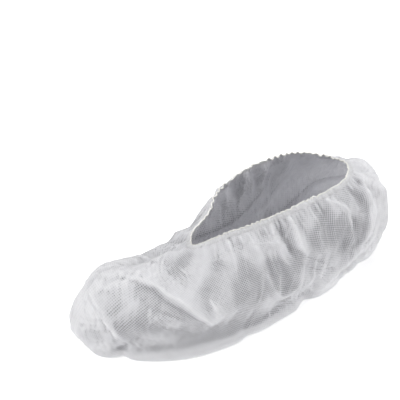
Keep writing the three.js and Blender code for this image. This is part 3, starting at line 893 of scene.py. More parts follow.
class ShaderTree:
    """A material and the nodes in it."""

    def __init__(self, name: str) -> None:
        """Starts an empty material.

        Args:
            name: The finish's name.
        """
        self.material = bpy.data.materials.new(name)
        self.material.use_nodes = True
        self.nodes = self.material.node_tree.nodes
        self.links = self.material.node_tree.links
        self.nodes.clear()

    def node(
        self,
        kind: str,
        settings: dict[str, object] | None = None,
        sockets: dict[str | int, object] | None = None,
        output: int | str = 0,
    ) -> Sock:
        """Adds a node.

        Args:
            kind: The node's type.
            settings: Its own settings, set first.
            sockets: Values or links of its inputs.
            output: Which output to give back.

        Returns:
            That output.
        """
        made = self.nodes.new(kind)
        for key, value in (settings or {}).items():
            setattr(made, key, value)
        for key, value in (sockets or {}).items():
            if isinstance(value, Sock):
                self.links.new(value.socket, made.inputs[key])
            else:
                made.inputs[key].default_value = value
        return Sock(self, made.outputs[output])

    def noise(self, scale: float, detail: float = 2.0) -> Sock:
        """Noise from 0 to 1 in the piece's own space."""
        place = self.node("ShaderNodeTexCoord", output="Object")
        return self.node("ShaderNodeTexNoise", sockets={"Vector": place, "Scale": scale, "Detail": detail})

    def attribute(self, name: str) -> Sock:
        """A number that the mesh holds for each point."""
        return self.node("ShaderNodeAttribute", {"attribute_name": name}, output="Fac")

    def blend(self, share: Sock, first: Sock | Colour, second: Sock | Colour) -> Sock:
        """A colour between two, the first where the share is 0."""
        return self.node("ShaderNodeMix", {"data_type": "RGBA"}, {0: share, 6: first, 7: second}, 2)

    def surface(self, shader: Sock) -> bpy.types.Material:
        """Links a shader to the material's surface.

        Args:
            shader: The shader.

        Returns:
            The material.
        """
        output = self.nodes.new("ShaderNodeOutputMaterial")
        self.links.new(shader.socket, output.inputs["Surface"])
        return self.material

    def thin_surface(self, coat: Sock, glow: Colour, through: float) -> bpy.types.Material:
        """The material of a thin thing: a coat, and the share of light that comes through it."""
        back = self.node("ShaderNodeBsdfTranslucent", sockets={"Color": glow})
        return self.surface(self.node("ShaderNodeMixShader", sockets={0: through, 1: coat, 2: back}))


@dataclass(frozen=True)
class ClothFinish:
    """Thin white non-woven cloth, embossed with a lattice of bonded points, greyer in patches, with painted
    shade in valleys and beside folds and painted light on ridges.
    """

    # The whitest colour is for loose cloth and painted light on fold ridges; the darkest ground colour is for
    # grey patches and painted shade in valleys and beside folds.
    slack_and_ridge_light: Colour = (0.96, 0.96, 0.97, 1.0)
    loose: Colour = (0.84, 0.84, 0.855, 1.0)
    grey_and_shade: Colour = (0.70, 0.70, 0.72, 1.0)
    dot: Colour = (0.08, 0.08, 0.085, 1.0)
    glow: Colour = (0.82, 0.82, 0.85, 1.0)
    pitch: float = 0.0015
    dot_span: Span = (0.1, 1.3)
    dot_least: float = 0.15
    dot_more: float = 1.35
    emboss: float = 0.00018
    emboss_strength: float = 0.7
    fibre_scale: float = 900.0
    fibre_height: float = 0.35
    cloud_scale: float = 50.0
    grey_and_shade_weight: float = 0.8
    grey_and_shade_cloud: float = 1.8
    grey_and_shade_span: Span = (-0.2, 1.2)
    slack_and_ridge_light_cloud: float = 1.2
    slack_and_ridge_light_span: Span = (0.1, 1.1)
    mottle_scale: float = 260.0
    mottle_span: Span = (0.4, 0.75)
    mottle_least: float = 0.08
    mottle_more: float = 0.12
    crease: float = 0.0009
    crease_scale: float = 75.0
    crease_detail: float = 1.5
    crease_span: Span = (0.0, 0.11)
    crease_strength: float = 0.5
    crease_calm: float = 0.85
    through: float = 0.36
    roughness: float = 0.78
    sheen: float = 0.05
    sheen_roughness: float = 0.5
    gloss: float = 0.3
    uv_name: str = "flat_pattern"
    # The mesh's value for grey patches, painted shade in valleys and beside folds, and painted light on
    # ridges.
    grey_and_shade_name: str = "grey_and_shade"
    calm_name: str = "calm"

    def material(self) -> bpy.types.Material:
        """Makes the material.

        Returns:
            The material.
        """
        tree = ShaderTree("embossed_cloth")
        grey_and_shade = tree.attribute(self.grey_and_shade_name)
        calm = tree.attribute(self.calm_name)
        cloud = tree.noise(self.cloud_scale)
        fibre = tree.noise(self.fibre_scale)
        dots = self.dots(tree)
        # The mesh's value, grey patches with painted shade and painted light, picks the ground colour, how
        # dark the mottle and dots are, and where the whitest colour lies.
        patchy = (grey_and_shade * self.grey_and_shade_weight + (cloud - 0.5) * self.grey_and_shade_cloud).ramp(*self.grey_and_shade_span)
        slack_and_ridge_light = ((cloud - 0.5) * self.slack_and_ridge_light_cloud - grey_and_shade).ramp(*self.slack_and_ridge_light_span)
        ground = tree.blend(slack_and_ridge_light, tree.blend(patchy, self.loose, self.grey_and_shade), self.slack_and_ridge_light)
        mottle = tree.noise(self.mottle_scale, 3.0).ramp(*self.mottle_span)
        ground = tree.blend(mottle * (self.mottle_least + patchy * self.mottle_more), ground, self.dot)
        marks = dots * (self.dot_least + patchy * self.dot_more) * (0.5 + fibre)
        ridge = (tree.noise(self.crease_scale, self.crease_detail) - 0.5).absolute().ramp(*self.crease_span)
        ridge = ridge + (1.0 - ridge) * calm * self.crease_calm
        creased = tree.node(
            "ShaderNodeBump",
            sockets={"Strength": self.crease_strength, "Distance": self.crease, "Height": ridge},
        )
        normal = tree.node(
            "ShaderNodeBump",
            sockets={
                "Strength": self.emboss_strength,
                "Distance": self.emboss,
                "Height": fibre * self.fibre_height - dots,
                "Normal": creased,
            },
        )
        coat = tree.node(
            "ShaderNodeBsdfPrincipled",
            sockets={
                "Base Color": tree.blend(marks, ground, self.dot),
                "Roughness": self.roughness,
                "Normal": normal,
                "Sheen Weight": self.sheen,
                "Sheen Roughness": self.sheen_roughness,
                "Specular IOR Level": self.gloss,
            },
        )
        return tree.thin_surface(coat, self.glow, self.through)

    def dots(self, tree: ShaderTree) -> Sock:
        """The lattice of bonded points on the flat pattern.

        Args:
            tree: The material's nodes.

        Returns:
            1 in a point and 0 between points.
        """
        flat = tree.node("ShaderNodeUVMap", {"uv_map": self.uv_name})
        across, along = (tree.node("ShaderNodeSeparateXYZ", sockets={0: flat}, output=axis) for axis in "XY")
        turn = TURN / self.pitch
        return ((across * turn).cosine() + (along * turn).cosine()).ramp(*self.dot_span)


@dataclass(frozen=True)
class ThreadFinish:
    """A soft matt finish for the seam, the edge, the thread and the elastic."""

    name: str
    colour: Colour
    shade: Colour
    roughness: float
    grain_scale: float
    depth: float
    through: float = 0.0
    cloud_scale: float = 90.0
    grain_weight: float = 0.6
    cloud_weight: float = 0.5
    shade_span: Span = (0.3, 0.8)
    bump_strength: float = 0.6
    sheen: float = 0.1

    def material(self) -> bpy.types.Material:
        """Makes the material.

        Returns:
            The material.
        """
        tree = ShaderTree(self.name)
        grain = tree.noise(self.grain_scale, 3.0)
        cloud = tree.noise(self.cloud_scale)
        lit = (grain * self.grain_weight + cloud * self.cloud_weight).ramp(*self.shade_span)
        normal = tree.node(
            "ShaderNodeBump",
            sockets={"Strength": self.bump_strength, "Distance": self.depth, "Height": grain},
        )
        coat = tree.node(
            "ShaderNodeBsdfPrincipled",
            sockets={
                "Base Color": tree.blend(lit, self.shade, self.colour),
                "Roughness": self.roughness,
                "Normal": normal,
                "Sheen Weight": self.sheen,
            },
        )
        return tree.thin_surface(coat, self.colour, self.through)


SEAM_FINISH = ThreadFinish(
    "overlocked_seam", (0.80, 0.80, 0.82, 1.0), (0.62, 0.62, 0.65, 1.0), 0.9, 700.0, 0.0002, 0.2
)
EDGE_FINISH = ThreadFinish(
    "serged_edge", (0.80, 0.80, 0.82, 1.0), (0.62, 0.62, 0.63, 1.0), 0.9, 800.0, 0.0002, 0.25
)
ELASTIC_FINISH = ThreadFinish(
    "cream_elastic", (0.86, 0.85, 0.81, 1.0), (0.70, 0.69, 0.65, 1.0), 0.6, 1200.0, 0.0001
)
YARN_FINISH = ThreadFinish(
    "white_yarn", (0.88, 0.88, 0.87, 1.0), (0.70, 0.70, 0.70, 1.0), 0.8, 1500.0, 0.0001
)


def select_only(piece: bpy.types.Object) -> None:
    """Selects one piece alone and makes it active.

    Args:
        piece: The piece.
    """
    bpy.ops.object.select_all(action="DESELECT")
    piece.select_set(True)
    bpy.context.view_layer.objects.active = piece


def new_piece(name: str, points: np.ndarray, faces: list[list[int]]) -> bpy.types.Object:
    """Makes a smooth mesh object in the scene.

    Args:
        name: The piece's name.
        points: Rows of x, y, z.
        faces: Corners of each face.

    Returns:
        The object, selected alone and active.
    """
    mesh = bpy.data.meshes.new(name)
    mesh.from_pydata(points.tolist(), [], faces)
    mesh.validate()
    piece = bpy.data.objects.new(name, mesh)
    bpy.context.scene.collection.objects.link(piece)
    select_only(piece)
    bpy.ops.object.shade_smooth()
    return piece


def read_points(mesh: bpy.types.Mesh) -> np.ndarray:
    """Reads the points of a mesh.

    Args:
        mesh: The mesh.

    Returns:
        Rows of x, y, z.
    """
    flat = np.empty(len(mesh.vertices) * 3, np.float32)
    mesh.vertices.foreach_get("co", flat)
    return flat.reshape(-1, 3).astype(float)


def move_points(piece: bpy.types.Object, points: np.ndarray) -> None:
    """Moves all points of a piece to new places, whose x, y and z come last."""
    piece.data.vertices.foreach_set("co", points.astype(np.float32).ravel())
    piece.data.update()


def rolled(name: str, points: np.ndarray) -> bpy.types.Object:
    """A flat grid rolled up into a tube, whose open ends, if any, are filled.

    Args:
        name: The piece's name.
        points: Places by step along the tube and corner of its section, the first corner again at the end.

    Returns:
        The piece.
    """
    steps, corners = points.shape[:2]
    bpy.ops.object.select_all(action="DESELECT")
    bpy.ops.mesh.primitive_grid_add(x_subdivisions=corners - 1, y_subdivisions=steps - 1, calc_uvs=False)
    piece = bpy.context.active_object
    piece.name = piece.data.name = name
    move_points(piece, points)
    bpy.ops.object.mode_set(mode="EDIT")
    bpy.ops.mesh.select_all(action="SELECT")
    bpy.ops.mesh.remove_doubles(threshold=MERGE_GAP)
    bpy.ops.mesh.fill_holes(sides=corners)
    bpy.ops.mesh.normals_make_consistent(inside=False)
    bpy.ops.object.mode_set(mode="OBJECT")
    bpy.ops.object.shade_smooth()
    return piece


def threads(name: str, paths: np.ndarray, radius: float, sides: int = 4) -> bpy.types.Object:
    """A piece of short threads, each closed at both ends.

    Args:
        name: The piece's name.
        paths: Points by thread and step along it.
        radius: The threads' radius.
        sides: Corners of their section.

    Returns:
        The piece.
    """
    ahead = unit(np.gradient(paths, axis=1))
    across = unit(np.cross(ahead, THREAD_SIDE))
    over = np.cross(ahead, across)
    angle = (np.arange(sides) * TURN / sides)[:, None]
    section = np.cos(angle) * across[:, :, None] + np.sin(angle) * over[:, :, None]
    points = paths[:, :, None] + radius * section
    faces: list[list[int]] = []
    for numbers in np.arange(points[..., 0].size).reshape(points.shape[:3]):
        faces += quads(np.concatenate([numbers, numbers[:, :1]], axis=1))
        faces += [numbers[0, ::-1].tolist(), numbers[-1].tolist()]
    return new_piece(name, points.reshape(-1, 3), faces)


def dress(
    piece: bpy.types.Object, finish: ClothFinish | ThreadFinish, node: CadNode | None = None
) -> bpy.types.Object:
    """Gives a piece its finish and lets it ride on the cover and stand for its solid.

    Args:
        piece: The piece.
        finish: Its finish.
        node: The solid that it stands for, if any.

    Returns:
        The piece.
    """
    piece.data.materials.append(finish.material())
    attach(piece, BODY)
    if node is not None:
        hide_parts(node.value)
    log.info("%s: %d faces", piece.name, len(piece.data.polygons))
    return piece


@dataclass
class CoverCloth:
    """The cloth of the cover: one sheet from the mouth, down the wall and under the foot to the sole seam."""

    form: CoverForm
    finish: ClothFinish = field(default_factory=ClothFinish)
    around: int = 480
    wall_rings: int = 76
    edge_rings: int = 14
    sole_rings: int = 10
    thickness: float = 0.0004
    groove_half: float = 0.0040
    groove_rise: float = 0.0012
    pucker_count: int = 46
    pucker_sway: Waves = ((1.7, 9.0 * math.pi, 0.0),)
    pucker: float = 0.0009
    pucker_reach: float = 0.008
    crumple: float = 0.0022
    crumple_noise: SoftNoise = SoftNoise(3, 0.030)
    fine_crumple: float = 0.0007
    fine_noise: SoftNoise = SoftNoise(8, 0.013)
    crumple_warp: float = 0.35
    warp_noises: tuple[SoftNoise, ...] = (SoftNoise(31, 0.03), SoftNoise(32, 0.03), SoftNoise(33, 0.03))
    handled_rise: Span = (0.0, 0.6)
    handled_fade: Span = (3.0, 3.8)
    calm_span: Span = (0.0, 0.4)
    calm_share: float = 0.8
    # Share by which calm cloth loses its painted valley shade.
    calm_shade_cut: float = 0.45
    sim_frames: int = 22
    sim_spare: float = 0.04
    sim_gravity: float = 0.15
    sim_cap: float = 0.006
    hold_loose: float = 0.45
    hold_tight: float = 0.76
    free_rise: Span = (0.05, 0.4)
    free_fade: Span = (3.3, 3.8)
    throat_pace: Span = (0.25, 0.6)
    throat_fade: Span = (0.1, 0.8)
    # A fold's lift that gives full painted light on raised folds and full painted shade in sunken ones.
    ridge_light_lift: float = 0.006
    flange_slack: float = 1.0
    flange_span: Span = (3.12, 3.5)
    # Depth below the neighbours that gives a valley full painted shade and a crest full painted light.
    valley_shade_depth: float = 0.0008
    hollow_reach: int = 2
    column_stride: int = 5
    ring_stride: int = 4
    unwrap_rounds: int = 40
    sole_aside: float = 1.0
    flat_width: float = 0.30
    flat_length: float = 0.36
    turns: np.ndarray = field(init=False)
    falls: np.ndarray = field(init=False)
    numbers: np.ndarray = field(init=False)
    smooth: np.ndarray = field(init=False)
    facing: np.ndarray = field(init=False)
    # Grey patches of the wall, with painted shade beside its fold lines.
    grey_and_shade: np.ndarray = field(init=False)
    calm: np.ndarray = field(init=False)
    outer: np.ndarray = field(init=False)
    piece: bpy.types.Object = field(init=False)

    def build(self) -> bpy.types.Object:
        """Builds the cloth and dresses it.

        Returns:
            The piece.
        """
        self.lay_grid()
        sheet = np.concatenate([self.numbers, self.numbers[:1]])
        self.piece = new_piece("cover_cloth", self.shared(self.outer_grid()), quads(sheet))
        self.simulate()
        self.sharpen()
        self.outer = self.grid()
        self.paint_grey_and_shade()
        self.lay_out_pattern()
        self.thicken()
        return dress(self.piece, self.finish, CadNode.BODY)

    def lay_grid(self) -> None:
        """Sets out the sheet's columns and rings, its smooth wall, its grey patches with painted fold shade,
        and where it lies calm.
        """
        self.turns = self.form.even_turns(self.around)
        wall = np.linspace(Fall.RIM, Fall.FOOT, self.wall_rings, endpoint=False)
        self.falls = np.concatenate([wall, np.linspace(Fall.FOOT, Fall.FLAT, self.edge_rings)])
        rings = len(self.falls) + self.sole_rings - 1
        column = np.arange(self.around)
        own = np.arange(self.around * rings).reshape(self.around, rings)
        seam = self.around * rings + np.minimum(column, self.around - column)
        self.numbers = np.concatenate([own, seam[:, None]], axis=1)
        turns, falls = self.turns[:, None], self.falls[None, :]
        self.smooth = self.form.wall(turns, falls)
        self.facing = self.normals(self.smooth)
        self.grey_and_shade = self.form.grey_and_fold_shade(turns, falls, self.smooth, self.facing)
        quiet = sum(self.form.patch(zone, turns, falls) for zone in CALM_ZONES)
        self.calm = np.clip(np.maximum(smooth_step(self.grey_and_shade, *self.calm_span), quiet), 0.0, 1.0)

    def outer_grid(self) -> np.ndarray:
        """The outer face, gathered and folded, as columns of points from the mouth to the seam.

        Returns:
            Points by column and ring.
        """
        turns, falls = self.turns[:, None], self.falls[None, :]
        fade = fade_out(self.falls, *self.form.fold_fade)
        lift = self.form.gathers(turns, falls) + self.form.folds(self.smooth, self.facing) * fade
        crumples = self.crumple * self.crumples(self.crumple_noise)
        lift = lift + (crumples + self.form.wrinkles(turns, falls)) * self.handled()
        wall = self.smooth + self.facing * lift[..., None] + self.form.dents(turns, falls)
        box = np.array(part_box(CadNode.BODY.value))
        low, high = wall.reshape(-1, 3).min(axis=0), wall.reshape(-1, 3).max(axis=0)
        self.form.shift = (box.mean(axis=0) - 0.5 * (low + high)) * np.array((1.0, 1.0, 0.0))
        grid = np.concatenate([wall, self.sole(wall[:, -1])], axis=1)
        grid[..., 2] = np.maximum(grid[..., 2], 0.0)
        return grid + self.form.shift

    def crumples(self, noise: SoftNoise) -> np.ndarray:
        """Dents and sharp ridges of handled cloth, weaker where it lies calm.

        Args:
            noise: The dents' seed and size.

        Returns:
            One number for each point, about -0.5 to 0.5.
        """
        warp = np.stack([bend.at(self.smooth) for bend in self.warp_noises], axis=-1)
        dents = noise.cell(self.smooth + self.crumple_warp * noise.size * warp) - 0.5
        return dents * (1.0 - self.calm_share * self.calm)

    def handled(self) -> np.ndarray:
        """Share of the handling that shows at each ring: none at the mouth and under the foot."""
        return smooth_step(self.falls, *self.handled_rise) * fade_out(self.falls, *self.handled_fade)

    def sharpen(self) -> None:
        """Adds the sharp crests of the folds and the small creases to the settled cloth."""
        grid = self.grid()
        count = len(self.falls)
        lift = self.form.crests(self.smooth, self.facing) + self.fine_crumple * self.crumples(self.fine_noise)
        lift = lift * self.handled() + self.form.pleats(self.turns[:, None], self.falls[None, :])
        grid[:, :count] += self.normals(grid[:, :count]) * lift[..., None]
        grid[..., 2] = np.maximum(grid[..., 2], 0.0)
        move_points(self.piece, self.shared(grid))

    @staticmethod
    def normals(grid: np.ndarray) -> np.ndarray:
        """Outward unit normals of a grid that closes around."""
        around = np.roll(grid, -1, axis=0) - np.roll(grid, 1, axis=0)
        return unit(np.cross(np.gradient(grid, axis=1), around))

    def sole(self, flat: np.ndarray) -> np.ndarray:
        """Rings of the sole from its flat edge to the seam, puckered along the seam.

        Args:
            flat: Last points of the wall.

        Returns:
            Points by column and ring.
        """
        seam = self.form.seam(self.turns)
        share = np.linspace(0.0, 1.0, self.sole_rings + 1)[1:]
        rings = flat[:, None] + (seam - flat)[:, None] * share[None, :, None]
        away = np.linalg.norm(rings - seam[:, None], axis=-1)
        mirrored = np.minimum(self.turns, 1.0 - self.turns)
        wave = np.cos(waves(mirrored, self.pucker_sway, TURN * self.pucker_count * mirrored))
        lift = self.pucker * (0.5 + 0.5 * wave[:, None]) * np.exp(-away / self.pucker_reach)
        rings[..., 2] = lift + self.groove_rise * fade_out(away, self.groove_half, 2.0 * self.groove_half)
        return rings

    def shared(self, grid: np.ndarray) -> np.ndarray:
        """Points of the mesh: all rings but the last, then the seam that both sides share."""
        own = grid[:, :-1].reshape(-1, 3)
        return np.concatenate([own, grid[: self.around // 2 + 1, -1]])

    def grid(self) -> np.ndarray:
        """The sheet's points as they are now, by column and ring."""
        return read_points(self.piece.data)[self.numbers]

    def per_point(self, wall: np.ndarray, rest: float) -> np.ndarray:
        """Values of all points of the mesh.

        Args:
            wall: Values of the wall by column and ring.
            rest: Value of the points under the foot.

        Returns:
            One value for each point.
        """
        grid = np.full((self.around, self.numbers.shape[1] - 1), rest)
        grid[:, : len(self.falls)] = wall
        return np.concatenate([grid.ravel(), np.full(self.around // 2 + 1, rest)])

    def hold_weights(self) -> np.ndarray:
        """How firmly each point is held while the cloth settles: whole at the mouth and under the foot.

        Returns:
            Weights from 0 to 1, one for each point.
        """
        turns, falls = self.turns[:, None], self.falls[None, :]
        free = smooth_step(falls, *self.free_rise) * fade_out(falls, *self.free_fade)
        held = 1.0 - (1.0 - mix(self.hold_loose, self.hold_tight, self.calm)) * free
        throat = fade_out(self.form.pace(turns), *self.throat_pace) * fade_out(falls, *self.throat_fade)
        return self.per_point(np.maximum(held, throat), 1.0)

    def simulate(self) -> None:
        """Lets a little spare cloth buckle and settle, and keeps the result within a cap."""
        start = read_points(self.piece.data)
        group = self.piece.vertex_groups.new(name="hold")
        weights = np.round(self.hold_weights(), 2)
        for level in np.unique(weights):
            group.add(np.flatnonzero(weights == level).tolist(), float(level), "REPLACE")
        cloth = self.piece.modifiers.new("settle", "CLOTH")
        settings = cloth.settings
        for name, value in SETTLING.items():
            setattr(settings, name, value)
        settings.shrink_min = settings.shrink_max = -self.sim_spare
        settings.vertex_group_mass = group.name
        settings.effector_weights.gravity = self.sim_gravity
        cloth.collision_settings.use_collision = False
        cloth.point_cache.frame_start = 1
        cloth.point_cache.frame_end = self.sim_frames
        scene = bpy.context.scene
        for step in range(1, self.sim_frames + 1):
            scene.frame_set(step)
        settled = self.piece.evaluated_get(bpy.context.evaluated_depsgraph_get()).to_mesh()
        move = read_points(settled) - start
        length = np.linalg.norm(move, axis=1, keepdims=True)
        log.info("cloth settled: mean %.2f mm, most %.2f mm", 1000 * length.mean(), 1000 * length.max())
        self.piece.modifiers.remove(cloth)
        self.piece.vertex_groups.remove(group)
        scene.frame_set(1)
        final = start + move * np.minimum(1.0, self.sim_cap / np.maximum(length, TINY))
        final[:, 2] = np.maximum(final[:, 2], 0.0)
        move_points(self.piece, final)

    def paint_grey_and_shade(self) -> None:
        """Marks how calm each point lies and paints its grey, with painted light on raised folds and crests
        and painted shade in sunken folds and valleys.
        """
        outer = self.outer[:, : len(self.falls)]
        lift = np.sum((outer - self.form.shift - self.smooth) * self.facing, axis=-1)
        shown = (1.0 - self.calm_shade_cut * self.calm) / self.valley_shade_depth
        # Painted light on raised folds and crests, painted shade in sunken folds and valleys.
        grey_and_shade = self.grey_and_shade - lift / self.ridge_light_lift + self.hollows(outer) * shown
        under = smooth_step(self.falls, *self.flange_span)
        grey_and_shade = grey_and_shade * (1.0 - under) - self.flange_slack * under
        for name, values in ((self.finish.grey_and_shade_name, grey_and_shade), (self.finish.calm_name, self.calm)):
            layer = self.piece.data.attributes.new(name, "FLOAT", "POINT")
            layer.data.foreach_set("value", self.per_point(values, 0.0).astype(np.float32))

    def hollows(self, grid: np.ndarray) -> np.ndarray:
        """How deep each point lies below its neighbours, less than 0 on a crest.

        Args:
            grid: Points by column and ring.

        Returns:
            Depths by column and ring.
        """
        reach = self.hollow_reach
        wide = np.roll(grid, reach, axis=0) + np.roll(grid, -reach, axis=0)
        padded = np.pad(grid, ((0, 0), (reach, reach), (0, 0)), mode="edge")
        tall = padded[:, 2 * reach :] + padded[:, : -2 * reach]
        depth = np.sum((0.25 * (wide + tall) - grid) * self.normals(grid), axis=-1)
        depth[:, :reach] = 0.0
        return depth

    def lay_out_pattern(self) -> None:
        """Lays the sheet flat as its UV map, in metres: the wall, cut at the heel, and the sole beside it."""
        grid = np.roll(self.outer, -(self.around // 2), axis=0)
        grid = np.concatenate([grid, grid[:1]])
        foot = self.wall_rings + self.edge_rings // 2
        columns = np.arange(0, self.around + 1, self.column_stride)
        sparse = np.arange(0, self.wall_rings, self.ring_stride)
        rings = np.concatenate([sparse, np.arange(self.wall_rings, foot + 1)])
        wall = self.flattened(grid[np.ix_(columns, rings)])
        every_column, every_ring = np.arange(self.around + 1), np.arange(foot + 1)
        tall = np.stack([points_at(every_ring, rings, row) for row in wall])
        fine = np.stack([points_at(every_column, columns, tall[:, r]) for r in every_ring], axis=1)
        sole = grid[:, foot:, :2] + np.array((self.sole_aside, 0.0))
        self.write_pattern(fine, sole)

    def flattened(self, coarse: np.ndarray) -> np.ndarray:
        """A coarse grid laid flat with the least stretch, at its true size.

        Args:
            coarse: Points by column and ring.

        Returns:
            Places on the flat by column and ring.
        """
        wide, tall = coarse.shape[:2]
        faces = quads(np.arange(wide * tall).reshape(wide, tall))
        patch = new_piece("pattern_patch", coarse.reshape(-1, 3), faces)
        bpy.ops.object.mode_set(mode="EDIT")
        bpy.ops.mesh.select_all(action="SELECT")
        bpy.ops.uv.unwrap(method="MINIMUM_STRETCH", iterations=self.unwrap_rounds, margin=0.0)
        bpy.ops.object.mode_set(mode="OBJECT")
        loops = np.empty(len(patch.data.loops), np.int32)
        patch.data.loops.foreach_get("vertex_index", loops)
        places = np.empty(len(loops) * 2, np.float32)
        patch.data.uv_layers.active.data.foreach_get("uv", places)
        flat = np.zeros((wide * tall, 2))
        flat[loops] = places.reshape(-1, 2)
        flat = flat.reshape(wide, tall, 2)
        bpy.data.objects.remove(patch)
        level = np.dstack([flat, np.zeros((wide, tall))])
        return flat * math.sqrt(self.area_of(coarse) / self.area_of(level))

    @staticmethod
    def area_of(grid: np.ndarray) -> float:
        """Area of a grid of points by its quads' diagonals."""
        first, second = grid[1:, 1:] - grid[:-1, :-1], grid[1:, :-1] - grid[:-1, 1:]
        return float(0.5 * np.linalg.norm(np.cross(first, second), axis=-1).sum())

    def write_pattern(self, wall: np.ndarray, sole: np.ndarray) -> None:
        """Writes the layout as the sheet's UV map.

        Args:
            wall: Places of the wall by column, counted from the heel, and ring.
            sole: Places of the sole by column and ring, from the foot on.
        """
        columns = (np.arange(self.around) - self.around // 2) % self.around
        parts = []
        for part in (wall, sole):
            c, r = np.meshgrid(columns, np.arange(part.shape[1] - 1), indexing="ij")
            parts.append(np.stack([part[c, r], part[c, r + 1], part[c + 1, r + 1], part[c + 1, r]], axis=2))
        corners = np.concatenate(parts, axis=1)
        layer = self.piece.data.uv_layers.new(name=self.finish.uv_name)
        layer.data.foreach_set("uv", corners.astype(np.float32).ravel())

    def thicken(self) -> None:
        """Gives the sheet its thickness, inwards."""
        select_only(self.piece)
        wall = self.piece.modifiers.new("thickness", "SOLIDIFY")
        wall.thickness = self.thickness
        wall.offset = -1.0
        bpy.ops.object.modifier_apply(modifier=wall.name)


@dataclass
class MouthEdge:
    """The mouth's serged hem, the elastic in it and the thread around it."""

    cloth: CoverCloth
    rise_ring: int = 4
    sides: int = 8
    hem_height: float = 0.0032
    hem_half: float = 0.0006
    overlap: float = 0.0008
    scallops: int = 54
    scallop: float = 0.0016
    scallop_sway: Waves = ((1.5, 7.0, 0.0), (1.2, 13.0, 1.0), (0.8, 23.0, 2.0))
    scallop_level: float = 0.6
    scallop_even: float = 0.55
    scallop_uneven: float = 0.6
    scallop_noise: SoftNoise = SoftNoise(61, 0.09)
    bunch: float = 0.25
    bunch_phase: float = 2.0
    bunch_sway: Waves = ((1.6, 7.0, 0.0),)
    elastic_radius: float = 0.0005
    elastic_sink: float = 0.8
    elastic_beads: int = 97
    elastic_uneven: float = 0.12
    wobbles: int = 61
    wobble: float = 0.0002
    wobble_sway: Waves = ((2.0, 5.0, 0.0),)
    stitches: int = 150
    stitch_clear: float = 1.3
    stitch_sway: Waves = ((0.15, 2.3, 0.0), (0.1, 5.1, 0.0))
    # Each row: share of the pitch along the hem, side of it, and height.
    stitch_loop: tuple[tuple[float, float, float], ...] = (
        (0.0, -1.0, -0.5),
        (0.2, -1.05, 1.6),
        (0.45, -0.7, 3.0),
        (0.6, 0.0, 3.5),
        (0.75, 0.7, 3.0),
        (0.95, 1.05, 1.6),
        (1.15, 1.0, -0.5),
    )
    thread_radius: float = 0.00016
    middle: np.ndarray = field(init=False)
    out: np.ndarray = field(init=False)
    up: np.ndarray = field(init=False)
    along: np.ndarray = field(init=False)
    angle: np.ndarray = field(init=False)

    def build(self) -> list[bpy.types.Object]:
        """Builds the hem, the elastic and the stitches along the cloth's rim.

        Returns:
            The pieces.
        """
        rim = self.cloth.outer[:, 0]
        rise = unit(rim - self.cloth.outer[:, self.rise_ring])
        out = unit(np.cross(np.roll(rim, -1, axis=0) - np.roll(rim, 1, axis=0), rise))
        inward = rim.mean(axis=0) - rim
        self.out = -out * np.sign(np.sum(out * inward, axis=1, keepdims=True))
        self.up = unit(rise - self.out * np.sum(rise * self.out, axis=1, keepdims=True))
        self.middle = rim - self.out * self.cloth.thickness * 0.5
        self.along = lengths_along(np.concatenate([rim, rim[:1]]))
        self.angle = self.along[:-1] / self.along[-1] * TURN
        return [self.hem(), self.elastic(), self.stitching()]

    def tops(self) -> np.ndarray:
        """Height of the scalloped hem at each column.

        Returns:
            Heights.
        """
        sway = waves(self.angle, self.scallop_sway)
        bumps = np.abs(np.cos(0.5 * self.scallops * self.angle + sway)) - self.scallop_level
        uneven = self.scallop_even + self.scallop_uneven * self.scallop_noise.around(self.angle)
        return self.hem_height + self.scallop * bumps * uneven * self.cloth.form.pace(self.cloth.turns)

    def ring(
        self, name: str, centres: np.ndarray, half_out: np.ndarray, half_up: np.ndarray
    ) -> bpy.types.Object:
        """A closed ring of oval section round the mouth.

        Args:
            name: The piece's name.
            centres: Middle of the section at each column.
            half_out: Half width across the cloth.
            half_up: Half height along the cloth.

        Returns:
            The object.
        """
        angle = (np.arange(self.sides) * TURN / self.sides)[:, None]
        across = np.cos(angle) * self.out[:, None] * half_out[:, None, None]
        section = across + np.sin(angle) * self.up[:, None] * half_up[:, None, None]
        return rolled(name, np.pad(centres[:, None] + section, ((0, 1), (0, 1), (0, 0)), mode="wrap"))

    def hem(self) -> bpy.types.Object:
        """The serged edge, thicker where it bunches.

        Returns:
            The piece.
        """
        tops = self.tops()
        sway = waves(self.angle, self.bunch_sway, self.scallops * self.angle + self.bunch_phase)
        bunch = 1.0 + self.bunch * np.cos(sway)
        half_up = 0.5 * (tops + self.overlap)
        centres = self.middle + self.up * (tops - half_up)[:, None]
        piece = self.ring("hem_band", centres, self.hem_half * bunch, half_up)
        return dress(piece, EDGE_FINISH, CadNode.HEM)

    def elastic(self) -> bpy.types.Object:
        """The elastic that shows along the top of the hem.

        Returns:
            The piece.
        """
        wobble = self.wobble * np.sin(waves(self.angle, self.wobble_sway, self.wobbles * self.angle))
        radius = self.elastic_radius * (1.0 + self.elastic_uneven * np.sin(self.elastic_beads * self.angle))
        lift = self.tops() + self.elastic_radius * self.elastic_sink
        centres = self.middle + self.up * lift[:, None] + self.out * wobble[:, None]
        piece = self.ring("elastic_cord", centres, radius, radius)
        return dress(piece, ELASTIC_FINISH, CadNode.ELASTIC)

    def at(self, vectors: np.ndarray, run: np.ndarray) -> np.ndarray:
        """The columns' vectors at lengths along the mouth."""
        return points_at(np.mod(run, self.along[-1]), self.along, np.concatenate([vectors, vectors[:1]]))

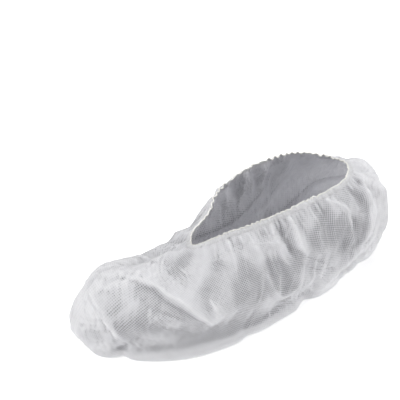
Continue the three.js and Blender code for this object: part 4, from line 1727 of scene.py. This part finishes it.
    def stitching(self) -> bpy.types.Object:
        """The overlock thread: slanted loops over the hem.

        Returns:
            The piece.
        """
        loop = np.array(self.stitch_loop)
        stitch = np.arange(self.stitches)
        starts = waves(stitch, self.stitch_sway) + stitch
        run = (starts[:, None] + loop[:, 0]) * (self.along[-1] / self.stitches)
        side = loop[:, 1:2] * (self.hem_half * self.stitch_clear + self.thread_radius)
        rise = loop[:, 2:] / loop[:, 2].max()
        reach = self.up * (self.tops() + self.thread_radius)[:, None]
        paths = self.at(self.middle, run) + self.at(self.out, run) * side + self.at(reach, run) * rise
        return dress(threads("mouth_stitching", paths, self.thread_radius), YARN_FINISH)


@dataclass
class SoleSeam:
    """The puckered seam along the middle of the sole and the thread over it."""

    form: CoverForm
    half_width: float = 0.0032
    thickness: float = 0.0010
    pucker: float = 0.0003
    pucker_pace: float = 1.3
    pucker_sway: Waves = ((1.0, 0.21, 0.0),)
    hump: float = 0.15
    hump_pace: float = 0.9
    hump_sway: Waves = ((2.0, 0.13, 0.0),)
    end_inset: float = 0.007
    steps: int = 190
    line_steps: int = 600
    stitches: int = 84
    stitch_steps: int = 4
    thread_radius: float = 0.00015
    # Corners of the strip's section and of a stitch round it, as shares of its half width and height.
    section: Path = (
        (-1.0, 0.25),
        (-0.9, 0.75),
        (-0.35, 1.0),
        (0.35, 1.0),
        (0.9, 0.75),
        (1.0, 0.25),
        (0.85, 0.04),
        (-0.85, 0.04),
    )
    stitch_loop: Path = (
        (-1.05, 0.5),
        (-0.9, 1.0),
        (0.0, 1.02),
        (0.9, 1.0),
        (1.05, 0.5),
        (0.9, 0.0),
        (0.0, 0.0),
        (-0.9, 0.0),
    )

    def line(self, count: int) -> np.ndarray:
        """Evenly spaced points along the seam.

        Args:
            count: How many points.

        Returns:
            Rows of x, y, z.
        """
        fine = self.form.seam(np.linspace(0.0, 0.5, self.line_steps)) + self.form.shift
        run = lengths_along(fine)
        return points_at(np.linspace(self.end_inset, run[-1] - self.end_inset, count), run, fine)

    def build(self) -> list[bpy.types.Object]:
        """Builds the seam and its stitches."""
        return [self.strip(), self.stitching()]

    def strip(self) -> bpy.types.Object:
        """The strip of turned and sewn cloth.

        Returns:
            The piece.
        """
        step = np.arange(self.steps)
        half = self.half_width + self.pucker * np.sin(waves(step, self.pucker_sway, self.pucker_pace * step))
        hump = 1.0 - self.hump + self.hump * np.sin(waves(step, self.hump_sway, self.hump_pace * step))
        level = np.zeros(self.steps)
        corners = self.section + self.section[:1]
        columns = [np.stack([x * half, level, z * self.thickness * hump], axis=-1) for x, z in corners]
        piece = rolled("seam_strip", self.line(self.steps)[:, None] + np.stack(columns, axis=1))
        return dress(piece, SEAM_FINISH, CadNode.SEAM)

    def stitching(self) -> bpy.types.Object:
        """Overlock thread across the seam's upper and lower faces.

        Returns:
            The piece.
        """
        across, height = np.array(self.stitch_loop).T
        rise = self.thread_radius + self.thickness * height
        loop = np.stack([across * self.half_width, np.zeros(len(across)), rise], axis=-1)
        first = self.stitch_steps * np.arange(self.stitches - 1)
        place = first[:, None] + np.arange(len(loop)) // 2
        paths = self.line(self.stitches * self.stitch_steps)[place] + loop
        return dress(threads("seam_stitching", paths, self.thread_radius), YARN_FINISH)


@dataclass(frozen=True)
class AreaLamp:
    """A soft lamp that looks at the cover."""

    name: str
    place: tuple[float, float, float]
    size: float
    power: float


@dataclass
class Studio:
    """Pale floor, soft light and the camera."""

    target: tuple[float, float, float] = (-0.10582, 0.0289, 0.0)
    azimuth: float = 57.5
    elevation: float = 40.0
    distance: float = 1.0
    lens: float = 103.5
    sensor: float = 36.0
    clip: Span = (0.01, 20.0)
    floor_size: float = 6.0
    floor_drop: float = 0.0003
    floor_colour: Colour = (0.93, 0.93, 0.93, 1.0)
    floor_shade: float = 0.985
    floor_cloud: float = 6.0
    floor_roughness: float = 0.9
    floor_glow: float = 0.35
    sky: float = 0.38
    lamps: tuple[AreaLamp, ...] = (
        AreaLamp("key", (0.2, -2.0, 1.5), 0.7, 28.5),
        AreaLamp("top", (-0.5, 0.3, 1.7), 0.9, 17.0),
        AreaLamp("fill", (1.2, 1.7, 0.9), 0.9, 21.0),
    )

    def build(self) -> None:
        """Sets up floor, lamps, sky and camera."""
        self.floor()
        self.light()
        self.camera()

    def floor(self) -> None:
        """A wide pale floor with a faint unevenness."""
        bpy.ops.object.select_all(action="DESELECT")
        bpy.ops.mesh.primitive_plane_add(size=self.floor_size, location=(0.0, 0.0, -self.floor_drop))
        bpy.ops.object.transform_apply(location=True, rotation=True, scale=True)
        floor = bpy.context.active_object
        floor.name = "floor"
        tree = ShaderTree("pale_floor")
        shade = tuple(self.floor_shade * c for c in self.floor_colour[:3]) + (1.0,)
        coat = tree.node(
            "ShaderNodeBsdfPrincipled",
            sockets={
                "Base Color": tree.blend(tree.noise(self.floor_cloud), self.floor_colour, shade),
                "Roughness": self.floor_roughness,
                "Emission Color": self.floor_colour,
                "Emission Strength": self.floor_glow,
            },
        )
        floor.data.materials.append(tree.surface(coat))

    def light(self) -> None:
        """Soft lamps and an even sky."""
        scene = bpy.context.scene
        world = bpy.data.worlds.new("sky")
        scene.world = world
        world.use_nodes = True
        back = world.node_tree.nodes["Background"]
        back.inputs["Color"].default_value = (1.0, 1.0, 1.0, 1.0)
        back.inputs["Strength"].default_value = self.sky
        for lamp in self.lamps:
            data = bpy.data.lights.new(lamp.name, "AREA")
            data.size = lamp.size
            data.energy = lamp.power
            made = bpy.data.objects.new(lamp.name, data)
            made.location = lamp.place
            made.rotation_euler = (-Vector(lamp.place)).to_track_quat("-Z", "Y").to_euler()
            scene.collection.objects.link(made)
        scene.view_settings.view_transform = "Standard"
        scene.view_settings.look = "None"

    def camera(self) -> None:
        """The camera at the photograph's angle."""
        turn, tilt = math.radians(self.azimuth), math.radians(self.elevation)
        back = Vector((math.sin(turn) * math.cos(tilt), -math.cos(turn) * math.cos(tilt), math.sin(tilt)))
        data = bpy.data.cameras.new("camera")
        data.lens = self.lens
        data.sensor_width = self.sensor
        data.clip_start, data.clip_end = self.clip
        made = bpy.data.objects.new("camera", data)
        made.location = Vector(self.target) + back * self.distance
        made.rotation_euler = back.to_track_quat("Z", "Y").to_euler()
        bpy.context.scene.collection.objects.link(made)
        bpy.context.scene.camera = made


def main() -> None:
    """Builds the cover and its studio."""
    form = CoverForm()
    cloth = CoverCloth(form)
    cloth.build()
    mouth = MouthEdge(cloth).build()
    seam = SoleSeam(form).build()
    Studio().build()


if __name__ == "__main__":
    main()
